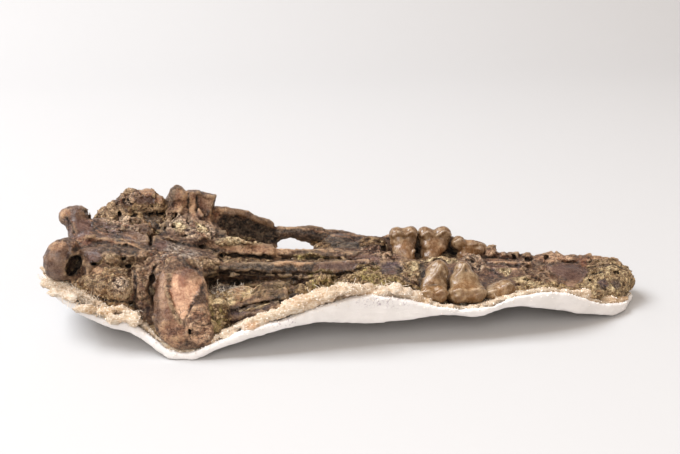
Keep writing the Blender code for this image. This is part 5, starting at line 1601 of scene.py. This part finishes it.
def hold_in_jacket(clay):
    """Cuts away what lies outside the burlap's inner face."""
    x, y, z = clay.axes()
    for i, place in enumerate(x[:, 0, 0]):
        _, inner = lining_section(float(np.clip(place, RIM[0][0], RIM[-1][0])))
        line = np.array(inner)
        near, far = line[0], line[-1]
        order = np.argsort(line[:, 0], kind="stable")
        floor = np.interp(y[0, :, 0], line[order, 0], line[order, 1])
        outside = np.maximum(near[0] + 0.3 - y[0, :, 0], y[0, :, 0] - far[0] + 0.3)
        below = np.maximum(floor[:, None] - z[0], outside[:, None])
        clay.field[i] = np.maximum(clay.field[i], below)


def bone_sand(points):
    return 0.8 * nearness(points, CLINGING_SAND, 0)


def all_sand(points):
    return np.full(len(points), 0.95)


def skull_clay():
    clay = Clay(*SKULL_BLOCK, SKULL_CELL)
    fill(clay, SKULL_BALLS, SKULL_BEAMS)
    for run in SKULL_BARS:
        clay.add(bar(run), BAR_BLEND)
    for form in SKULL_SLABS:
        clay.add(slab(form), PLATE_BLEND)
    for run in SKULL_RIDGES:
        clay.add(beam(run, RIDGE_SHOULDER), RIDGE_BLEND)
    for pit in SKULL_PITS:
        clay.dig(ball(pit), PIT_BLEND)
    clay.dig(slab(JOINT_FACE, JOINT_ROUNDING), FACE_BLEND)
    for slit in SKULL_SLITS:
        clay.dig(slab(slit, SLIT_ROUNDING), SLIT_BLEND)
    return clay


def matrix_clay():
    clay = Clay(*MATRIX_BLOCK, SEDIMENT_CELL)
    fill(clay, MATRIX_BALLS, MATRIX_BEAMS)
    hold_in_jacket(clay)
    return clay


def ear_clay():
    clay = Clay(*EAR_BLOCK, EAR_CELL)
    fill(clay, EAR_BALLS)
    return clay


def tooth_clay(forms, crests, grooves, seed):
    centres, radii = np.split(np.array(forms, float), 2, axis=1)
    clay = Clay((centres - radii).min(0) - 3, (centres + radii).max(0) + 3, TOOTH_CELL)
    fill(clay, forms, blend=TOOTH_BLEND)
    for run in crests:
        clay.add(bar(run), CREST_BLEND)
    for run in grooves:
        clay.dig(bar(run), PIT_BLEND)
    grain = Grain(seed)

    def wear(at):
        return 0.42 * grain.layers(at, 5, 3) + 0.08 * grain.cloud(at, 1.3)

    clay.wear(wear, 2.5)
    hold_in_jacket(clay)
    return clay


def skull_piece(clay, sight):
    grain = Grain(SKULL_SEED)
    look = (BONE_TINT, BONE_PATCHES, bone_sand, sight, grain)
    shape_surface(clay, *look)
    obj = skin_piece("skull_bone", clay, MOST_SKULL)
    colour_surface(obj, clay, *look)
    return obj


def sediment_piece(name, clay, sight, seed, most_triangles, base_tint):
    grain = Grain(seed)
    look = (base_tint, SAND_PATCHES, all_sand, sight, grain)
    shape_surface(clay, *look, reach=3.4)
    if name == "matrix_bed":
        hold_in_jacket(clay)
    obj = skin_piece(name, clay, most_triangles)
    surface = colour_surface(obj, clay, *look)
    points = corner_points(obj)
    set_value(obj, "crumbs", smooth_step(0.5, 0.9, surface.nature[:, 2]) * exposed(points))
    set_value(obj, "fibres", nearness(points, PADS, 0) * smooth_step(22, 26, points[:, 2]))
    return obj


def tooth_piece(name, clay, seed):
    obj = skin_piece(name + "_crown", clay, MOST_TOOTH)
    points = corner_points(obj)
    # The enamel finish darkens by this hollow value: painted shade.
    set_value(obj, "hollow", clay.sample(clay.hollows(1.1), points))
    low, high = points.min(0), points.max(0)
    middle = (low + high) / 2
    side = "left" if name.startswith("left") else "right"
    base, warm, grey = TOOTH_TINTS[side]
    near_flank = ((middle[0], low[1] + 4, middle[2]), (9, 8, 7))
    front = ((high[0] - 3, middle[1], middle[2] + 2), (6, 10, 8))
    back = ((low[0] + 2, middle[1], low[2] + 8), (5, 9, 8))
    patches = [(warm, 0.7, [near_flank]), (grey, 0.6, [front, back])]
    set_tints(obj, patched(points, base, patches, 0.3 * Grain(seed).layers(points, 4, 3)))
    return obj


def jacket_piece():
    clay = Clay(*JACKET_BLOCK, SHELL_CELL)
    shell_field(clay, jacket_section)
    grain = Grain(JACKET_SEED)
    clay.wear(lambda at: 0.7 * grain.layers(at, 20, 3) + 0.28 * grain.layers(at, 5, 3) + 0.25)
    clay.stop_at(FOOT)
    obj = skin_piece("plaster_jacket_shell", clay, MOST_SHELL)
    points = corner_points(obj)
    # The plaster finish darkens by this hollow value: painted shade.
    set_value(obj, "hollow", clay.sample(clay.hollows(3.0), points))
    stations, near_rims, _, _, lips, *_ = zip(*RIM)
    lip = np.interp(points[:, 0], stations, lips)
    near_rim = np.interp(points[:, 0], stations, near_rims)
    set_value(obj, "crumbs", (points[:, 1] < near_rim + 12) * smooth_step(-4, -1, points[:, 2] - lip))
    set_value(obj, "smudge", nearness(points, SMUDGED_LIP, 0))
    return obj


def lining_piece():
    clay = Clay(*LINING_BLOCK, SHELL_CELL)
    shell_field(clay, lining_section)
    for lump in LINING_LUMPS:
        clay.add(ball(lump), LUMP_BLEND)
    clay.add(bar(LINING_LEDGE), LEDGE_BLEND)
    grain = Grain(LINING_SEED)

    def tears(points):
        wander = grain.wandered(points, 6)
        far, _, shade = grain.pebbles(wander * np.array((0.7, 1, 1)), 2.8)
        near_rim = smooth_step(-20, -44, points[:, 1])
        return near_rim * (1.3 * (far - 0.5) + 1.3 * (shade - 0.5)) + 1.5 * grain.layers(points, 7, 4, 0.7)

    clay.wear(tears)
    clay.stop_at(GAP)
    obj = skin_piece("burlap_lining_layer", clay, MOST_SHELL)
    points = corner_points(obj)
    # The burlap finish darkens by these hollow values: painted shade.
    set_value(obj, "hollow", clay.sample(clay.hollows(1.8), points))
    set_value(obj, "wide_hollow", clay.sample(clay.hollows(4.5), points))
    set_tints(obj, patched(points, LINING_TINT, LINING_PATCHES, 0.3 * grain.layers(points, 5, 3)))
    stations = np.arange(-196, 204, 4.0)
    inner_lines = [lining_section(float(x))[1] for x in stations]
    lip = np.interp(points[:, 0], stations, [line[0][1] for line in inner_lines])
    shown = (points[:, 1] < -20) * smooth_step(-8, -3, points[:, 2] - lip) * smooth_step(2.5, 4, points[:, 2])
    set_value(obj, "crumbs", shown)
    frayed = 0.02 + smooth_step(-140, -160, points[:, 0]) + 0.25 * nearness(points, FRAYED_LEDGE, 0)
    set_value(obj, "fibres", shown * frayed)
    return obj


def scatter_tree(name, thing, material, wanted):
    """Geometry nodes that strew small things over a host's faces where its own value asks for them."""
    tree = bpy.data.node_groups.new(name, "GeometryNodeTree")
    face = tree.interface
    for way in ("INPUT", "OUTPUT"):
        face.new_socket("Geometry", in_out=way, socket_type="NodeSocketGeometry")
    for label in ("Per square metre", "Smallest", "Largest"):
        face.new_socket(label, in_out="INPUT", socket_type="NodeSocketFloat")
    face.new_socket("Seed", in_out="INPUT", socket_type="NodeSocketInt")

    def add(kind, inputs, **settings):
        return add_node(tree, kind, inputs, **settings)

    given = add("NodeGroupInput", {})
    mesh, seed = given["Geometry"], given["Seed"]
    where = add("GeometryNodeInputNamedAttribute", {"Name": wanted})["Attribute"]
    density = add("ShaderNodeMath", {0: given["Per square metre"], 1: where}, operation="MULTIPLY")[0]
    strewn = add("GeometryNodeDistributePointsOnFaces", {"Mesh": mesh, "Density": density, "Seed": seed})
    size = add("FunctionNodeRandomValue", {2: given["Smallest"], 3: given["Largest"], "Seed": seed})[1]
    shape, turn = thing(tree, strewn["Rotation"])
    inputs = {"Points": strewn["Points"], "Instance": shape, "Rotation": turn, "Scale": size}
    placed = add("GeometryNodeInstanceOnPoints", inputs)["Instances"]
    inputs = {"Geometry": placed, "Name": "shade", "Value": add("FunctionNodeRandomValue", {})[1]}
    shaded = add("GeometryNodeStoreNamedAttribute", inputs, domain="INSTANCE")["Geometry"]
    real = add("GeometryNodeRealizeInstances", {"Geometry": shaded})["Geometry"]
    finished = add("GeometryNodeSetMaterial", {"Geometry": real, "Material": material})["Geometry"]
    add("NodeGroupOutput", {"Geometry": finished})
    return tree


def random_turn(tree, low, high):
    return add_node(tree, "FunctionNodeRandomValue", {0: low, 1: high}, data_type="FLOAT_VECTOR")[0]


def grit(tree, upright):
    """An angular crumb, one unit across, turned any way. It doesn't use upright."""
    stone = add_node(tree, "GeometryNodeMeshIcoSphere", {"Radius": 0.5, "Subdivisions": 1})["Mesh"]
    squash = add_node(tree, "GeometryNodeTransform", {"Scale": CRUMB_SHAPE, "Geometry": stone})
    return squash["Geometry"], random_turn(tree, (0, 0, 0), ANY_WAY)


def fibre(tree, upright):
    """A curled thread, one unit long and thin, that leans from upright."""
    arc = add_node(tree, "GeometryNodeCurveQuadraticBezier", {"Resolution": 4, **FIBRE_CURL})["Curve"]
    outline = {"Resolution": 3, "Radius": FIBRE_RADIUS}
    round_line = add_node(tree, "GeometryNodeCurvePrimitiveCircle", outline)["Curve"]
    inputs = {"Curve": arc, "Profile Curve": round_line, "Fill Caps": True}
    thread = add_node(tree, "GeometryNodeCurveToMesh", inputs)["Mesh"]
    lean = random_turn(tree, [-turn for turn in FIBRE_LEAN], FIBRE_LEAN)
    inputs = {"Rotation": upright, "Rotate By": lean}
    tilt = add_node(tree, "FunctionNodeRotateRotation", inputs, rotation_space="LOCAL")
    return thread, tilt["Rotation"]


def strew(host, thing, material, wanted, name, density, smallest, largest, seed):
    """A plain mesh of small things strewn over the host."""
    tree = scatter_tree(name, thing, material, wanted)
    obj = bpy.data.objects.new(name, host.data.copy())
    bpy.context.scene.collection.objects.link(obj)
    modifier = obj.modifiers.new("strew", "NODES")
    modifier.node_group = tree
    given = {item.name: item.identifier for item in tree.interface.items_tree if item.in_out == "INPUT"}
    for label, number in (
        ("Per square metre", density), ("Smallest", smallest * MM), ("Largest", largest * MM), ("Seed", seed),
    ):
        modifier[given[label]] = number
    apply_modifiers(obj)
    obj.data.name = name
    return obj


def dress(obj, material, slot, *nodes):
    if material is not None:
        obj.data.materials.clear()
        obj.data.materials.append(material)
    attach(obj, "root")
    if nodes:
        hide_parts(*nodes)
    return obj


def paper_sweep():
    """A pale sheet that runs back under the object and curves up behind it."""
    profile = [(-PAPER_SIDE, 0.0), (PAPER_BEND, 0.0)]
    for a in np.linspace(0.1, math.pi / 2, 16):
        profile.append((PAPER_BEND * (1 + math.sin(a)), PAPER_BEND * (1 - math.cos(a))))
    profile.append((2 * PAPER_BEND, PAPER_TOP))
    points = [(x, y, z) for y, z in profile for x in (-PAPER_SIDE, PAPER_SIDE)]
    faces = [(2 * k, 2 * k + 1, 2 * k + 3, 2 * k + 2) for k in range(len(profile) - 1)]
    sweep = mesh_object("paper_sweep", np.array(points) / MM, np.array(faces))
    material = bpy.data.materials.new("pale_paper")
    material.use_nodes = True
    shader = material.node_tree.nodes["Principled BSDF"]
    shader.inputs["Base Color"].default_value = PAPER_TINT
    shader.inputs["Roughness"].default_value = 0.9
    shader.inputs["Specular IOR Level"].default_value = 0.1
    sweep.data.materials.append(material)


def soft_light(name, place, aim, size, power, colour):
    light = bpy.data.lights.new(name, "AREA")
    light.shape = "RECTANGLE"
    light.size, light.size_y = size
    light.energy = power
    light.color = colour
    obj = bpy.data.objects.new(name, light)
    obj.location = place
    obj.rotation_euler = (Vector(aim) - Vector(place)).to_track_quat("-Z", "Y").to_euler()
    bpy.context.scene.collection.objects.link(obj)


def studio():
    paper_sweep()
    soft_light("overhead_softbox", *OVERHEAD_SOFTBOX)
    soft_light("front_softbox", *FRONT_SOFTBOX)
    world = bpy.data.worlds.new("studio_air")
    world.use_nodes = True
    air = world.node_tree.nodes["Background"]
    air.inputs["Color"].default_value = AIR_TINT
    air.inputs["Strength"].default_value = AIR_STRENGTH
    scene = bpy.context.scene
    scene.world = world
    scene.view_settings.view_transform = "Standard"
    data = bpy.data.cameras.new("photograph_camera")
    camera = bpy.data.objects.new("photograph_camera", data)
    scene.collection.objects.link(camera)
    camera.location = Vector(CAMERA_EYE * MM)
    aim = Vector(CAMERA_AIM * MM)
    camera.rotation_euler = (aim - camera.location).to_track_quat("-Z", "Y").to_euler()
    data.lens = LENS
    data.sensor_width = SENSOR
    scene.camera = camera


def main():
    bone, sediment, enamel = fossil_finish("bone_finish"), fossil_finish("sediment_finish"), enamel_finish()
    jacket = dress(jacket_piece(), plaster_finish(), "plaster", "plaster_jacket")
    lining = dress(lining_piece(), burlap_finish(), "burlap", "burlap_lining")
    skull, matrix, ear_lumps = skull_clay(), matrix_clay(), ear_clay()
    crowns = {}
    for k, (name, forms) in enumerate(TEETH.items()):
        crowns[name] = tooth_clay(forms, TOOTH_CRESTS[name], TOOTH_GROOVES[name], TOOTH_SEED + k)
    sight = Sight([skull, matrix, ear_lumps, *crowns.values()])
    bed = sediment_piece("matrix_bed", matrix, sight, BED_SEED, MOST_BED, SAND_TINT)
    dress(bed, sediment, "sediment", "matrix")
    ear = sediment_piece("right_ear_lumps", ear_lumps, sight, EAR_SEED, MOST_EAR, EAR_TINT)
    dress(ear, sediment, "sediment", "right_ear_matrix")
    dress(skull_piece(skull, sight), bone, "bone", "skull")
    for k, (name, crown) in enumerate(crowns.items()):
        dress(tooth_piece(name, crown, STAIN_SEED + k), enamel, "enamel", name)
    sand = crumb_finish("loose_sand", "5a4634", "a98f6c")
    cream = crumb_finish("loose_plaster", "cfae8c", "f8f0e6")
    chalk = crumb_finish("loose_chalk", "d8cfc6", "f0ebe6")
    thread = crumb_finish("loose_thread", "d0b594", "f6eadb")
    dress(strew(bed, grit, sand, "crumbs", *BED_CRUMBS), None, "sediment")
    dress(strew(ear, grit, sand, "crumbs", *EAR_CRUMBS), None, "sediment")
    dress(strew(lining, grit, cream, "crumbs", *LINING_CRUMBS), None, "burlap")
    dress(strew(jacket, grit, chalk, "crumbs", *RIM_CRUMBS), None, "plaster")
    dress(strew(bed, fibre, thread, "fibres", *PAD_FIBRES), None, "burlap")
    dress(strew(lining, fibre, thread, "fibres", *LINING_FIBRES), None, "burlap")
    studio()
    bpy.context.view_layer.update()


main()
